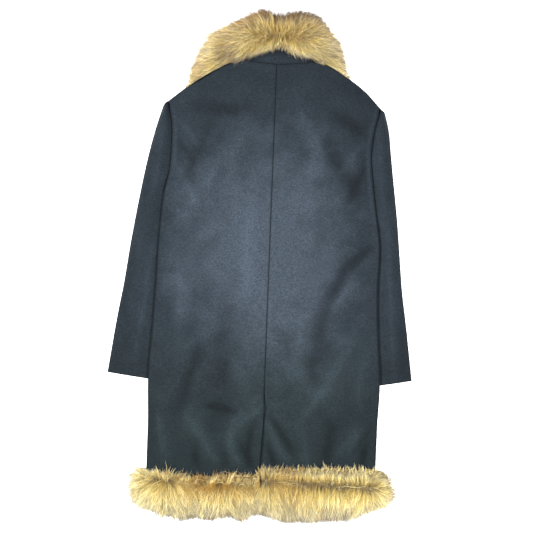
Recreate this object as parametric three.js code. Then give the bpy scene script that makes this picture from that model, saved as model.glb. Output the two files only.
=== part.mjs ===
// A roomy knee-length coat in dark wool melton with a deep faux-fur collar and
// a faux-fur band round the hem. It is laid flat on its front, back uppermost,
// with the sleeves down beside the body and their inner halves under it.
//
// Lengths are in millimetres. +X is the wearer's right, +Y runs from the hem to
// the collar and +Z points up from the surface that the coat lies on. The sizes
// below are measured from the centre-back neck point, NECK_POINT from the origin.

import * as THREE from "three";
import { mergeVertices } from "three/addons/utils/BufferGeometryUtils.js";

const NECK_POINT = { x: 11.5, y: 449 };

// Cloth.
const CLOTH = 2.2; // thickness of the melton
const SEAM = 0.3; // gap between two pieces that are sewn together
const PLY = CLOTH + SEAM; // rise from one layer to the one that rests on it
const FREE_PLY = 3.6; // the same where one layer lies loose on another

// Heights at which the coat's layers lie, and how far the back stands off the fronts.
const COLLAR_REST = 20.3; // underside of the fronts where they lie on the turned-down collar
const HEM_REST = 24; // underside of the fronts where they lie on the hem band
const SLEEVE_REST = 5.4; // underside of the fronts where they lie on the sleeves
const FULLNESS = { body: 4, armhole: 4, seams: 0.7 };
const SLEEVE_CROWN = { shoulder: 9, cuff: 5.5, groove: 1.2, taper: [150, 700], sewn: [2, 50] };

// Distances over which a lift grows or fades.
const HEM_FORM = { level: 20, front: 130, back: 180 }; // up from the hem
const COLLAR_FORM = { halfWidth: 148, beside: 98, low: -205, front: 130, back: 220 };
const SLEEVE_FORM = { inward: 110, level: 30, above: 110, seated: 8, cuff: -735, belowCuff: -800 };
const OWN_FORM = { side: 50, hem: 18, fullByHem: 50, top: 45, ease: 80 }; // where the back's own folds start
const ARMHOLE_FORM = { near: 40, far: 120, fade: 70, end: 10, top: 30 };

// Body. Each row gives the distance out from the centre line at a height y:
// down the armhole seam to the underarm, then down the side seam.
const SHOULDER_Y = -98; // where the shoulder seam meets the armhole
const BODY_EDGE = {
  left: [
    { y: -98, out: 245 }, { y: -115, out: 235 }, { y: -140, out: 228 }, { y: -200, out: 227 },
    { y: -245, out: 230 }, { y: -300, out: 240 }, { y: -400, out: 247 }, { y: -500, out: 250 },
    { y: -600, out: 254 }, { y: -700, out: 259 }, { y: -800, out: 256 }, { y: -930, out: 254 },
  ],
  right: [
    { y: -98, out: 240 }, { y: -110, out: 233 }, { y: -143, out: 223 }, { y: -200, out: 218 },
    { y: -262, out: 225 }, { y: -333, out: 235 }, { y: -400, out: 244 }, { y: -500, out: 243 },
    { y: -600, out: 248 }, { y: -700, out: 256 }, { y: -800, out: 254 }, { y: -930, out: 252 },
  ],
};
const UNDERARM_Y = { left: -295, right: -365 }; // below this the sleeve lies under the body
const BACK_TOP = [ // back neck and shoulder seams
  { x: -245, y: -98 }, { x: -200, y: -62 }, { x: -150, y: -28 }, { x: -125, y: -14 },
  { x: -95, y: 1 }, { x: -50, y: 2 }, { x: 0, y: -2 }, { x: 55, y: 2 },
  { x: 100, y: 5 }, { x: 150, y: -22 }, { x: 200, y: -57 }, { x: 240, y: -98 },
];
const WOOL_HEM = [ // lower edge of the wool, under the hair of the band
  { x: -260, y: -925 }, { x: -120, y: -923 }, { x: 0, y: -917 }, { x: 120, y: -910 }, { x: 260, y: -905 },
];
const FRONT_NECK = { halfWidth: 95, y: -108 };
// The right front's overlap on the left one: where the lift fades, and where the back eases over it.
const OVERLAP = { half: 35, fade: 110, ease: [120, 170], top: [-20, -90] };
const HEM_Y = -920; // about the middle of the hem
const VENT = { top: -757, slant: 22, underlap: 34, level: 42, fade: 90, rise: 43 };

// Sleeves, which show from just outside the body's edge. Each row gives how far out
// the outer fold or the inner fold lies at a height y.
const SLEEVE_BORDER = { sewn: 2.5, free: 1.5, crown: 3 };
const SLEEVE = {
  left: {
    outer: [
      { y: -102, out: 248 }, { y: -150, out: 262 }, { y: -209, out: 276 }, { y: -285, out: 290 },
      { y: -400, out: 308 }, { y: -500, out: 321 }, { y: -582, out: 334 }, { y: -701, out: 350 },
    ],
    inner: [
      { y: -340, out: 165 }, { y: -400, out: 147 }, { y: -500, out: 168 },
      { y: -600, out: 192 }, { y: -712, out: 222 },
    ],
  },
  right: {
    outer: [
      { y: -101, out: 246 }, { y: -143, out: 255 }, { y: -190, out: 261 }, { y: -252, out: 269 },
      { y: -333, out: 280 }, { y: -395, out: 287 }, { y: -497, out: 298 }, { y: -568, out: 309 },
      { y: -695, out: 327 },
    ],
    inner: [
      { y: -410, out: 150 }, { y: -450, out: 138 }, { y: -500, out: 145 },
      { y: -600, out: 171 }, { y: -708, out: 199 },
    ],
  },
};

// Collar: the stand over the back neck, and the fur beyond it. The rise is how far
// the stand reaches over the neck seam.
const STAND = { left: -94, right: 99, slope: 8, gap: 0.6 };
const STAND_RISE = [
  { x: -128, rise: 0 }, { x: -94, rise: 4 }, { x: -50, rise: 21 }, { x: 0, rise: 37 },
  { x: 50, rise: 22 }, { x: 99, rise: 4 }, { x: 133, rise: 0 },
];
const COLLAR_ENDS = { left: -204, right: 176, gap: 1.2 };
const COLLAR_RIM = [ // outer edge of the standing fur
  [-209, -50], [-196, -18], [-181, 6], [-165, 42], [-150, 64], [-128, 80], [-100, 92], [-72, 110], [-35, 121],
  [0, 116], [40, 118], [80, 113], [104, 97], [124, 72], [140, 48], [152, 14], [164, -12], [181, -32],
];
const COLLAR_FUR = { spine: 31, rim: 15, crown: 27, tuck: 9, tufts: 2 };

// The collar turned down over a front: its inner and outer edge, and its thickness.
const TURNED_INNER = [[3, 2], [50, -1], [84, -14], [92, -45], [80, -85], [50, -105], [6, -111]];
const TURNED_OUTER = [
  [3, 31], [50, 20], [93, 3], [122, -15], [142, -40], [142, -90], [110, -140], [60, -168], [6, -176],
];
const TURNED = { thickness: 20, edge: 3.5 };

// Fur band round the hem: its upper and lower edge in plan.
const BAND_TOP = [
  { x: -294, y: -940 }, { x: -290, y: -918 }, { x: -276, y: -902 }, { x: -255, y: -904 },
  { x: -120, y: -905 }, { x: 0, y: -898 }, { x: 120, y: -892 }, { x: 255, y: -890 },
  { x: 282, y: -892 }, { x: 295, y: -912 }, { x: 299, y: -935 },
];
const BAND_LOW = [
  { x: -294, y: -960 }, { x: -290, y: -984 }, { x: -276, y: -997 }, { x: -240, y: -1007 },
  { x: -180, y: -1019 }, { x: -60, y: -1015 }, { x: -12, y: -1008 }, { x: 12, y: -1010 },
  { x: 60, y: -1019 }, { x: 180, y: -1013 }, { x: 240, y: -997 }, { x: 278, y: -984 },
  { x: 293, y: -968 }, { x: 299, y: -955 },
];
const BAND = { front: 26.35, back: 26.65, crown: 27, edge: 3, tuck: 12, inset: 4, gap: 0.8, tufts: 1.5 };
const BAND_ENDS = { start: 235, end: 303, frontEdge: 8 };
const BAND_SHAPE = { skew: 0.85, round: 0.7, tuckTo: 0.3 };
const VENT_DIP = { share: 0.25, half: 14 }; // lower fur where the band is parted at the vent
const BESIDE_WOOL = { clear: 1.5, ramp: 12 }; // where the band steps down past the wool's edge

// The largest folds of the back: a bent line each, its half width and its height,
// below zero for a trough.
const FOLDS = [
  { from: [245, -400], bend: [118, -470], to: [107, -690], wide: 20, high: -3.2 },
  { from: [199, -587], bend: [150, -700], to: [78, -800], wide: 22, high: 3 },
  { from: [102, -160], bend: [150, -215], to: [196, -300], wide: 20, high: -3 },
  { from: [130, -105], bend: [170, -135], to: [212, -146], wide: 16, high: -3 },
  { from: [-148, -150], bend: [-165, -200], to: [-200, -270], wide: 13, high: -2.6 },
  { from: [-105, -190], bend: [-130, -260], to: [-190, -345], wide: 18, high: 2 },
  { from: [-85, -560], bend: [-110, -660], to: [-95, -800], wide: 28, high: -2.4 },
  { from: [-48, -780], bend: [-92, -822], to: [-50, -896], wide: 15, high: 4.5 },
  { from: [-173, -785], bend: [-118, -845], to: [-100, -896], wide: 17, high: 4 },
  { from: [-244, -775], bend: [-222, -830], to: [-205, -890], wide: 15, high: 4 },
  { from: [12, -800], bend: [36, -850], to: [62, -892], wide: 14, high: 3.6 },
  { from: [246, -800], bend: [200, -815], to: [196, -870], wide: 14, high: 4 },
];
const FOLD_SAMPLES = 14;
const FOLD_ENDS = [0.08, 0.92]; // share of a half wave by which a fold fades at its ends

// How finely the pieces are divided.
const BACK_COLUMNS = 11;
const FRONT_COLUMNS = 9;
const BODY_STEPS = { left: { armhole: 9, side: 24 }, right: { armhole: 12, side: 21 } };
const SLEEVE_STEPS = { side: 17, top: { hidden: 2, all: 8 }, under: { hidden: 1, all: 4 } };
const STAND_GRID = [16, 3];
const COLLAR_GRID = { along: 40, across: 6 };
const TURNED_GRID = { around: 16, outward: 4 };
const BACK_BAND_GRID = [24, 9];
const FRONT_BAND_GRID = [18, 6];
const BAND_SIDE_COLUMNS = 5; // of these, past the wool

const { clamp, lerp, smoothstep } = THREE.MathUtils;

/** A smooth value between the rows of a table, read by one column and given by another. */
function read(rows, by, at, column) {
  const sorted = [...rows].sort((a, b) => a[by] - b[by]);
  const last = sorted.length - 1;
  const place = clamp(at, sorted[0][by], sorted[last][by]);
  const k = clamp(sorted.findIndex((row) => row[by] >= place) - 1, 0, last - 1);
  const slope = (i) => {
    const low = sorted[Math.max(i - 1, 0)];
    const high = sorted[Math.min(i + 1, last)];
    return (high[column] - low[column]) / (high[by] - low[by]);
  };
  const span = sorted[k + 1][by] - sorted[k][by];
  const t = (place - sorted[k][by]) / span;
  const value = lerp(sorted[k][column], sorted[k + 1][column], 3 * t ** 2 - 2 * t ** 3);
  const leaving = slope(k) * (t ** 3 - 2 * t ** 2 + t);
  const arriving = slope(k + 1) * (t ** 3 - t ** 2);
  return value + span * (leaving + arriving);
}

/** Evenly spaced values from one end to the other, both included. */
function spread(from, to, steps) {
  return Array.from({ length: steps + 1 }, (_, k) => lerp(from, to, k / steps));
}

const sideOf = (x) => (x < 0 ? "left" : "right");
const bodyEdge = (side, y) => read(BODY_EDGE[side], "y", y, "out");
const backTop = (x) => read(BACK_TOP, "x", x, "y");
const standTop = (x) => backTop(x) + read(STAND_RISE, "x", x, "rise");
const woolHem = (x) => read(WOOL_HEM, "x", x, "y");
const sleeveOuter = (side, y) => read(SLEEVE[side].outer, "y", y, "out");

/** Height of the front neck and shoulder edge. */
function frontTop(x) {
  const across = Math.abs(x) / FRONT_NECK.halfWidth;
  if (across >= 1) return backTop(x);
  const neckSide = backTop(Math.sign(x) * FRONT_NECK.halfWidth);
  return lerp(neckSide, FRONT_NECK.y, Math.sqrt(1 - across ** 2));
}

// Heights of the layers ------------------------------------------------------

/** How much the turned-down collar lifts the cloth over it, fading over some distance below it. */
function collarLift(x, y, below) {
  const beside = Math.max(Math.abs(x) - COLLAR_FORM.halfWidth, 0) / COLLAR_FORM.beside;
  const past = Math.max(COLLAR_FORM.low - y, 0) / below;
  return COLLAR_REST * (1 - smoothstep(Math.hypot(beside, past), 0, 1));
}

/** How much the hem band lifts the cloth, fading up to a height above the hem. */
function hemLift(x, y, height) {
  return HEM_REST * (1 - smoothstep(y - woolHem(x), HEM_FORM.level, height));
}

/** How much the sleeves lift the body's edges. */
function sleeveLift(x, y) {
  const side = sideOf(x);
  const inner = read(SLEEVE[side].inner, "y", y, "out");
  const across = smoothstep(Math.abs(x), inner - SLEEVE_FORM.inward, inner - SLEEVE_FORM.level);
  const top = smoothstep(-y, -UNDERARM_Y[side] - SLEEVE_FORM.above, -UNDERARM_Y[side] - SLEEVE_FORM.seated);
  return SLEEVE_REST * across * top * (1 - smoothstep(-y, -SLEEVE_FORM.cuff, -SLEEVE_FORM.belowCuff));
}

/** Underside of the right front, which lies on the surface. */
function frontLow(x, y) {
  return Math.max(collarLift(x, y, COLLAR_FORM.front), hemLift(x, y, HEM_FORM.front), sleeveLift(x, y));
}

/** How far the left front stands up over the right one at the centre. */
function overlapRise(x, y) {
  const beside = 1 - smoothstep(Math.abs(x), OVERLAP.half, OVERLAP.fade);
  return FREE_PLY * beside * smoothstep(-y, -OVERLAP.top[0], -OVERLAP.top[1]);
}

/** Share of the back's own form, none along its seams and hem. */
function awayFromSeams(x, y) {
  const fromSide = smoothstep(bodyEdge(sideOf(x), y) - Math.abs(x), 0, OWN_FORM.side);
  const fromHem = smoothstep(y - woolHem(x), OWN_FORM.hem, OWN_FORM.fullByHem);
  const fromTop = smoothstep(backTop(x) - y, 0, OWN_FORM.top);
  return fromSide * fromHem * fromTop;
}

const foldLines = FOLDS.map((fold) => {
  const ends = [fold.from, fold.bend, fold.to].map(([x, y]) => new THREE.Vector2(x, y));
  return { ...fold, points: new THREE.QuadraticBezierCurve(...ends).getPoints(FOLD_SAMPLES) };
});

/** Ridges and troughs of the back, each fading over its half width and towards its ends. */
function foldHeight(x, y) {
  const here = new THREE.Vector2(x, y);
  let height = 0;
  for (const { points, wide, high } of foldLines) {
    let nearest = Infinity;
    let along = 0;
    points.forEach((point, k) => {
      const distance = point.distanceTo(here);
      if (distance < nearest) {
        nearest = distance;
        along = k / FOLD_SAMPLES;
      }
    });
    const ends = Math.sqrt(Math.sin(Math.PI * lerp(...FOLD_ENDS, along)));
    height += high * ends * Math.exp(-((nearest / wide) ** 2));
  }
  return height;
}

/** How far the left back stands up over the vent's underlap. */
function ventRise(x, y) {
  const across = smoothstep(x, -VENT.fade, -VENT.level);
  return FREE_PLY * across * smoothstep(VENT.top - y, -VENT.rise, 0);
}

/** Fullness of the back along an armhole, where the sleeve opens into the body. */
function armholeFullness(x, y) {
  const side = sideOf(x);
  const near = 1 - smoothstep(bodyEdge(side, y) - Math.abs(x), ARMHOLE_FORM.near, ARMHOLE_FORM.far);
  const above = smoothstep(y - UNDERARM_Y[side], ARMHOLE_FORM.end, ARMHOLE_FORM.fade);
  return FULLNESS.armhole * near * above * smoothstep(backTop(x) - y, 0, ARMHOLE_FORM.top);
}

/** Underside of the right back, and of the left one apart from the vent's rise. */
function backLow(x, y) {
  const front = frontLow(x, y);
  const drape = Math.max(collarLift(x, y, COLLAR_FORM.back), hemLift(x, y, HEM_FORM.back)) - front;
  const own = awayFromSeams(x, y) * (FULLNESS.body + Math.max(drape, 0) + foldHeight(x, y));
  const nearTop = 1 - smoothstep(backTop(x) - y, 0, OWN_FORM.ease);
  const overFronts = 1 - smoothstep(Math.abs(x), ...OVERLAP.ease);
  const ease = FULLNESS.seams * Math.max(nearTop, overFronts);
  return front + overlapRise(x, y) + PLY + ease + Math.max(own, 0) + armholeFullness(x, y);
}

const leftBackLow = (x, y) => backLow(x, y) + ventRise(x, y);
const leftFrontLow = (x, y) => frontLow(x, y) + overlapRise(x, y);

// Pieces ---------------------------------------------------------------------

const wool = new THREE.MeshStandardMaterial({ name: "wool melton", color: 0x2b343c, roughness: 0.95 });
const fur = new THREE.MeshStandardMaterial({ name: "faux fur", color: 0xb89c5e, roughness: 0.9 });

/**
 * One closed piece between two heights. It starts as a flat box of one unit,
 * whose grid points are moved to their places: place(i, j) gives x and y, with i
 * counted from left to right and j from the hem upwards.
 */
function layer(name, material, [columns, rows], place, low, high) {
  const box = new THREE.BoxGeometry(1, 1, 1, columns, rows, 1);
  box.deleteAttribute("normal");
  box.deleteAttribute("uv");
  const form = mergeVertices(box);
  const spots = form.attributes.position;
  for (let k = 0; k < spots.count; k += 1) {
    const i = Math.round((spots.getX(k) + 0.5) * columns);
    const j = Math.round((spots.getY(k) + 0.5) * rows);
    const spot = { ...place(i, j), u: i / columns, v: j / rows };
    const z = spots.getZ(k) > 0 ? high(spot) : low(spot);
    spots.setXYZ(k, spot.x, spot.y, z);
  }
  form.computeVertexNormals();
  const mesh = new THREE.Mesh(form, material);
  mesh.name = name;
  return mesh;
}

/** The same for a piece of cloth, given the height of its underside. */
function cloth(name, grid, place, low) {
  const under = ({ x, y, v }) => low(x, y, v);
  const over = (spot) => under(spot) + CLOTH;
  return layer(name, wool, grid, place, under, over);
}

/** Heights at which the rows of a body panel end on its outer edge. */
function bodyRows(side) {
  const edge = bodyEdge(side, HEM_Y);
  const hem = woolHem(side === "left" ? -edge : edge);
  return [
    hem,
    ...spread(hem + HEM_FORM.level - 1, UNDERARM_Y[side], BODY_STEPS[side].side),
    ...spread(UNDERARM_Y[side], SHOULDER_Y, BODY_STEPS[side].armhole).slice(1),
  ];
}

/** Places of a body panel's grid between the centre, the outer edge, the hem and the top. */
function panelPlaces(side, columns, centre, top) {
  const rows = bodyRows(side);
  const sign = side === "left" ? -1 : 1;
  const [hem, shoulder] = [rows[0], rows[rows.length - 1]];
  const corner = {
    innerHem: [centre(woolHem(0)), woolHem(0)],
    innerTop: [centre(0), top(centre(0))],
    outerHem: [sign * bodyEdge(side, hem), hem],
    outerTop: [sign * bodyEdge(side, shoulder), shoulder],
  };
  return (i, j) => {
    const u = side === "left" ? 1 - i / columns : i / columns;
    const v = (rows[j] - hem) / (shoulder - hem);
    const innerY = lerp(corner.innerHem[1], corner.innerTop[1], v);
    const bottomX = lerp(corner.innerHem[0], corner.outerHem[0], u);
    const topX = lerp(corner.innerTop[0], corner.outerTop[0], u);
    // Between the four edges: across the rows, plus up the columns, less what both count.
    const across = [lerp(centre(innerY), sign * bodyEdge(side, rows[j]), u), lerp(innerY, rows[j], u)];
    const upward = [lerp(bottomX, topX, v), lerp(woolHem(bottomX), top(topX), v)];
    const both = [0, 1].map((axis) => lerp(
      lerp(corner.innerHem[axis], corner.outerHem[axis], u),
      lerp(corner.innerTop[axis], corner.outerTop[axis], u),
      v,
    ));
    return { x: across[0] + upward[0] - both[0], y: across[1] + upward[1] - both[1] };
  };
}

/** One panel of the body, from the line of its centre edge to its side. */
function bodyPanel(name, side, columns, centre, top, low) {
  const grid = [columns, bodyRows(side).length - 1];
  return cloth(name, grid, panelPlaces(side, columns, centre, top), low);
}

function buildBacks() {
  const seam = () => -SEAM / 2;
  const underlap = (y) => lerp(SEAM / 2, -VENT.underlap, smoothstep(VENT.top - y, 0, VENT.slant));
  return [
    bodyPanel("back_left", "left", BACK_COLUMNS, seam, backTop, leftBackLow),
    bodyPanel("back_right", "right", BACK_COLUMNS, underlap, backTop, backLow),
  ];
}

function buildFronts() {
  return [
    bodyPanel("front_left", "left", FRONT_COLUMNS, () => OVERLAP.half, frontTop, leftFrontLow),
    bodyPanel("front_right", "right", FRONT_COLUMNS, () => -OVERLAP.half, frontTop, frontLow),
  ];
}

/** The two pieces of a sleeve: one flat on the surface, one crowned over it. */
function buildSleeve(side) {
  const sign = side === "left" ? -1 : 1;
  const { outer, inner } = SLEEVE[side];
  const cuff = { inner: inner[inner.length - 1].y, outer: outer[outer.length - 1].y };
  const underarm = { y: UNDERARM_Y[side], out: bodyEdge(side, UNDERARM_Y[side]) + SEAM };
  const sewnRows = bodyRows(side).slice(BODY_STEPS[side].side + 2);
  const rows = [...spread(cuff.inner, underarm.y, SLEEVE_STEPS.side), ...sewnRows];
  const hiddenEdge = [underarm, ...inner];

  // The hidden columns lie under the body, and above the underarm they close up along the seam.
  const outerY = (y) => lerp(cuff.outer, outer[0].y, (y - cuff.inner) / (SHOULDER_Y - cuff.inner));
  const places = ({ hidden, all }) => (i, j) => {
    const column = side === "left" ? all - i : i;
    const y = rows[j];
    const sewn = y >= underarm.y;
    const seam = sewn ? bodyEdge(side, y) + SEAM : read(hiddenEdge, "y", y, "out");
    const border = bodyEdge(side, y) + (sewn ? SLEEVE_BORDER.sewn : SLEEVE_BORDER.free);
    const outside = sleeveOuter(side, outerY(y));
    const out = column <= hidden
      ? lerp(seam, border, column / hidden)
      : lerp(border, outside, (column - hidden) / (all - hidden));
    return { x: sign * out, y: lerp(y, outerY(y), clamp((out - border) / (outside - border), 0, 1)) };
  };

  const topLow = (x, y) => {
    const edge = bodyEdge(side, y);
    const start = edge + SLEEVE_BORDER.crown;
    const across = clamp((Math.abs(x) - start) / (sleeveOuter(side, y) - start), 0, 1);
    const crown = lerp(SLEEVE_CROWN.shoulder, SLEEVE_CROWN.cuff, smoothstep(-y, ...SLEEVE_CROWN.taper));
    const seam = backLow(sign * edge, y) - SLEEVE_CROWN.groove - PLY;
    const seamShare = (1 - across) ** 2 * smoothstep(y - underarm.y, ...SLEEVE_CROWN.sewn);
    return PLY + crown * Math.sin(Math.PI * across) + Math.max(seam, 0) * seamShare;
  };
  const piece = (name, steps, low) => cloth(name, [steps.all, rows.length - 1], places(steps), low);
  return [
    piece(`sleeve_${side}_top`, SLEEVE_STEPS.top, topLow),
    piece(`sleeve_${side}_under`, SLEEVE_STEPS.under, () => 0),
  ];
}

/** The stand, which rises from the neck seam towards the fur. */
function buildStand() {
  const place = (i, j) => {
    const x = lerp(STAND.left, STAND.right, i / STAND_GRID[0]);
    return { x, y: lerp(backTop(x) + STAND.gap, standTop(x), j / STAND_GRID[1]) };
  };
  const neck = backLow(0, 0);
  return cloth("collar_stand", STAND_GRID, place, (x, y, v) => neck + STAND.slope * v);
}

/** A smooth line through points, as evenly spaced samples. */
function samples(points, steps) {
  return new THREE.SplineCurve(points.map(([x, y]) => new THREE.Vector2(x, y))).getSpacedPoints(steps);
}

/** Places of a grid from one line to another, in even steps across. */
function between(first, second, steps) {
  return (along, across) => {
    const spot = first[along].clone().lerp(second[along], across / steps);
    return { x: spot.x, y: spot.y };
  };
}

/** Uneven locks of the pile, as a share of their height. */
const tufts = (x, y) => Math.sin(x * 0.11 + y * 0.03) * Math.sin(y * 0.09 - x * 0.05);

/** The fur that stands out past the neck and the shoulders. */
function buildStandingFur() {
  const { along, across } = COLLAR_GRID;
  const spine = spread(COLLAR_ENDS.left, COLLAR_ENDS.right, along).map(
    (x) => new THREE.Vector2(x, standTop(x) + COLLAR_ENDS.gap),
  );
  const low = ({ v }) => COLLAR_FUR.tuck * smoothstep(v, 0.75, 1);
  const high = ({ x, y, u, v }) => {
    const ends = Math.sqrt(Math.sin(Math.PI * lerp(0.03, 0.97, u)));
    const crown = COLLAR_FUR.crown * ends * Math.sin(Math.PI * v) ** 0.8;
    const locks = COLLAR_FUR.tufts * tufts(x, y) * Math.sin(Math.PI * v);
    return lerp(COLLAR_FUR.spine, COLLAR_FUR.rim, v) + crown + locks;
  };
  const places = between(spine, samples(COLLAR_RIM, along), across);
  return layer("collar_fur_back", fur, [along, across], places, low, high);
}

/** The fur turned down over a front, from the centre back round the neck to the centre front. */
function buildTurnedFur(side) {
  const sign = side === "left" ? -1 : 1;
  const { around, outward } = TURNED_GRID;
  const [inner, outer] = [TURNED_INNER, TURNED_OUTER].map(
    (points) => samples(points.map(([x, y]) => [sign * x, y]), around),
  );
  const turned = between(inner, outer, outward);
  // The rows run down the left side and up the right one, so that both have their faces outward.
  const place = (i, j) => turned(side === "left" ? j : around - j, i);
  const top = ({ u }) => TURNED.thickness - TURNED.edge * (2 * u - 1) ** 2;
  return layer(`collar_fur_${side}`, fur, [outward, around], place, () => 0, top);
}

/** Places of one half of the hem band, with rows and columns along the wool's edges. */
function bandPlaces(side, split, inset, [columns, rows]) {
  const sign = side === "left" ? -1 : 1;
  const wool = bodyEdge(side, HEM_Y) + BESIDE_WOOL.clear;
  const ramped = wool + BESIDE_WOOL.ramp;
  const tip = sign * BAND_TOP[side === "left" ? 0 : BAND_TOP.length - 1].x - inset;
  const overWool = spread(sign * split, wool, columns - BAND_SIDE_COLUMNS);
  const outs = [...overWool, ...spread(ramped, tip, BAND_SIDE_COLUMNS - 1)];
  const lowEdge = (x) => read(BAND_LOW, "x", x, "y") + inset;
  const topEdge = (x) => read(BAND_TOP, "x", x, "y") - inset;
  const share = (x, above) => {
    const held = sign * Math.min(sign * x, ramped);
    return (woolHem(held) - above - lowEdge(held)) / (topEdge(held) - lowEdge(held));
  };
  return (i, j) => {
    const x = sign * (side === "left" ? outs[columns - i] : outs[i]);
    const past = share(x, BESIDE_WOOL.clear + BESIDE_WOOL.ramp);
    const shares = [...spread(0, past, rows - 2), share(x, BESIDE_WOOL.clear), 1];
    return { x, y: lerp(lowEdge(x), topEdge(x), shares[j]), band: shares[j] };
  };
}

/** How far a spot lies outside the wool's outline, as a share of the ramp beside it. */
function pastWool(side, x, y) {
  const edge = bodyEdge(side, HEM_Y);
  const beyond = Math.max(Math.abs(x) - edge, woolHem(x) - y) - BESIDE_WOOL.clear;
  return clamp(beyond / BESIDE_WOOL.ramp, 0, 1);
}

/** How much of its full thickness the band keeps towards its ends. */
const bandEnds = (x) => Math.sqrt(1 - smoothstep(Math.abs(x), BAND_ENDS.start, BAND_ENDS.end));

/** Height of the fur over the band, lower at its edges, its ends and the vent. */
function bandCrown(x, band) {
  const profile = Math.sin(Math.PI * clamp(band, 0, 1) ** BAND_SHAPE.skew) ** BAND_SHAPE.round;
  const parting = 1 - VENT_DIP.share * Math.exp(-((x / VENT_DIP.half) ** 2));
  return BAND.crown * profile * bandEnds(x) * parting;
}

function buildBackBand(side) {
  const split = side === "left" ? -SEAM / 2 : SEAM / 2;
  const wool = side === "left" ? leftBackLow : backLow;
  const edge = bodyEdge(side, HEM_Y);
  const low = ({ x, y }) => {
    const held = clamp(x, -edge, edge);
    const onWool = wool(held, woolHem(held)) + CLOTH + BAND.gap;
    return lerp(onWool, BAND.back, pastWool(side, x, y));
  };
  const high = (spot) => {
    const crown = bandCrown(spot.x, spot.band) + BAND.tufts * tufts(spot.x, spot.y);
    return Math.max(low(spot), BAND.back + crown) + BAND.edge;
  };
  const places = bandPlaces(side, split, 0, BACK_BAND_GRID);
  return layer(`hem_fur_back_${side}`, fur, BACK_BAND_GRID, places, low, high);
}

function buildFrontBand(side) {
  const split = -OVERLAP.half + (side === "left" ? -SEAM / 2 : SEAM / 2);
  const low = ({ x, band }) => lerp(
    BAND.front - BAND_ENDS.frontEdge,
    BAND.tuck * (1 - smoothstep(band, 0, BAND_SHAPE.tuckTo)),
    bandEnds(x),
  );
  const high = ({ x, y }) => lerp(HEM_REST - BAND.gap, BAND.front, pastWool(side, x, y));
  const places = bandPlaces(side, split, BAND.inset, FRONT_BAND_GRID);
  return layer(`hem_fur_front_${side}`, fur, FRONT_BAND_GRID, places, low, high);
}

const coat = new THREE.Group();
coat.name = "coat";
coat.add(
  ...buildBacks(),
  ...buildFronts(),
  ...buildSleeve("left"),
  ...buildSleeve("right"),
  buildStand(),
  buildStandingFur(),
  buildTurnedFur("left"),
  buildTurnedFur("right"),
  ...["left", "right"].flatMap((side) => [buildBackBand(side), buildFrontBand(side)]),
);
coat.position.set(NECK_POINT.x, NECK_POINT.y, 0);

export default coat;
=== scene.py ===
"""A roomy knee-length wool coat with a faux-fur collar and hem, laid flat on its front.

Sizes are in millimetres in the coat's own frame: the origin is the centre-back neck
point on the surface that the coat lies on, +X is the wearer's right, +Y runs from the
hem to the collar and +Z points up. Meshes are in metres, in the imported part's frame.
"""

import logging
import math
from collections.abc import Callable, Sequence
from dataclasses import dataclass, field
from enum import Enum

import bmesh
import bpy
import numpy as np
from bpy.types import Material, Mesh, Node, NodeSocket, NodeTree, Object
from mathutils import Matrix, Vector


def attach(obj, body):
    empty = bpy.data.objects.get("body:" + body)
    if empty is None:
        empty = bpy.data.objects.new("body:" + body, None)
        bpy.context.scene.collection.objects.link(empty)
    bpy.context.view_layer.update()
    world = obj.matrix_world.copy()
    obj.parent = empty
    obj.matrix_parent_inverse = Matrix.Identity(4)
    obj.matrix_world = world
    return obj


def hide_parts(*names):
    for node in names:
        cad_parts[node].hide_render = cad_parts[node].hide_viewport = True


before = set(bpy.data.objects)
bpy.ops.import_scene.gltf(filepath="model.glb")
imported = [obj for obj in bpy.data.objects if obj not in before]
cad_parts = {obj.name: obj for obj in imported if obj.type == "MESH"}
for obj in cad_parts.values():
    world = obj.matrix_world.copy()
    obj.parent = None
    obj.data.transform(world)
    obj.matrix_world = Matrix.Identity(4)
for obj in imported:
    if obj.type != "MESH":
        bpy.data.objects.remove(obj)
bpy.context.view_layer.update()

log = logging.getLogger("coat")

Array = np.ndarray
Height = Callable[[Array, Array], Array]
Places = Callable[[Array, Array], tuple[Array, Array]]
Inputs = dict[int | str, object]

MM = 0.001
NECK_POINT = (11.5, 449.0)  # the coat's origin in the part's frame

# Cloth.
CLOTH = 2.2  # thickness of the melton
SEAM = 0.3  # gap between two pieces that are sewn together
PLY = CLOTH + SEAM
FREE_PLY = 3.6  # rise of one loose layer over another


def smoothstep(value: Array | float, low: float, high: float) -> Array:
    """Goes smoothly from 0 at one value to 1 at another."""
    share = np.clip((value - low) / (high - low), 0, 1)
    return share * share * (3 - 2 * share)


def lerp(start: Array | float, end: Array | float, share: Array | float) -> Array:
    """The value a share of the way from start to end."""
    return start + (end - start) * share


def bump(distance: Array, half: float) -> Array:
    """A soft ridge: 1 in the middle, fading over a half width."""
    return np.exp(-((distance / half) ** 2))


def crest(distance: Array, half: float) -> Array:
    """A ridge as cloth makes it, with straight sides and a rounded top."""
    rounding = 0.22 * half
    return np.exp(-(np.hypot(distance, rounding) - rounding) / (0.6 * half))


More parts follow.
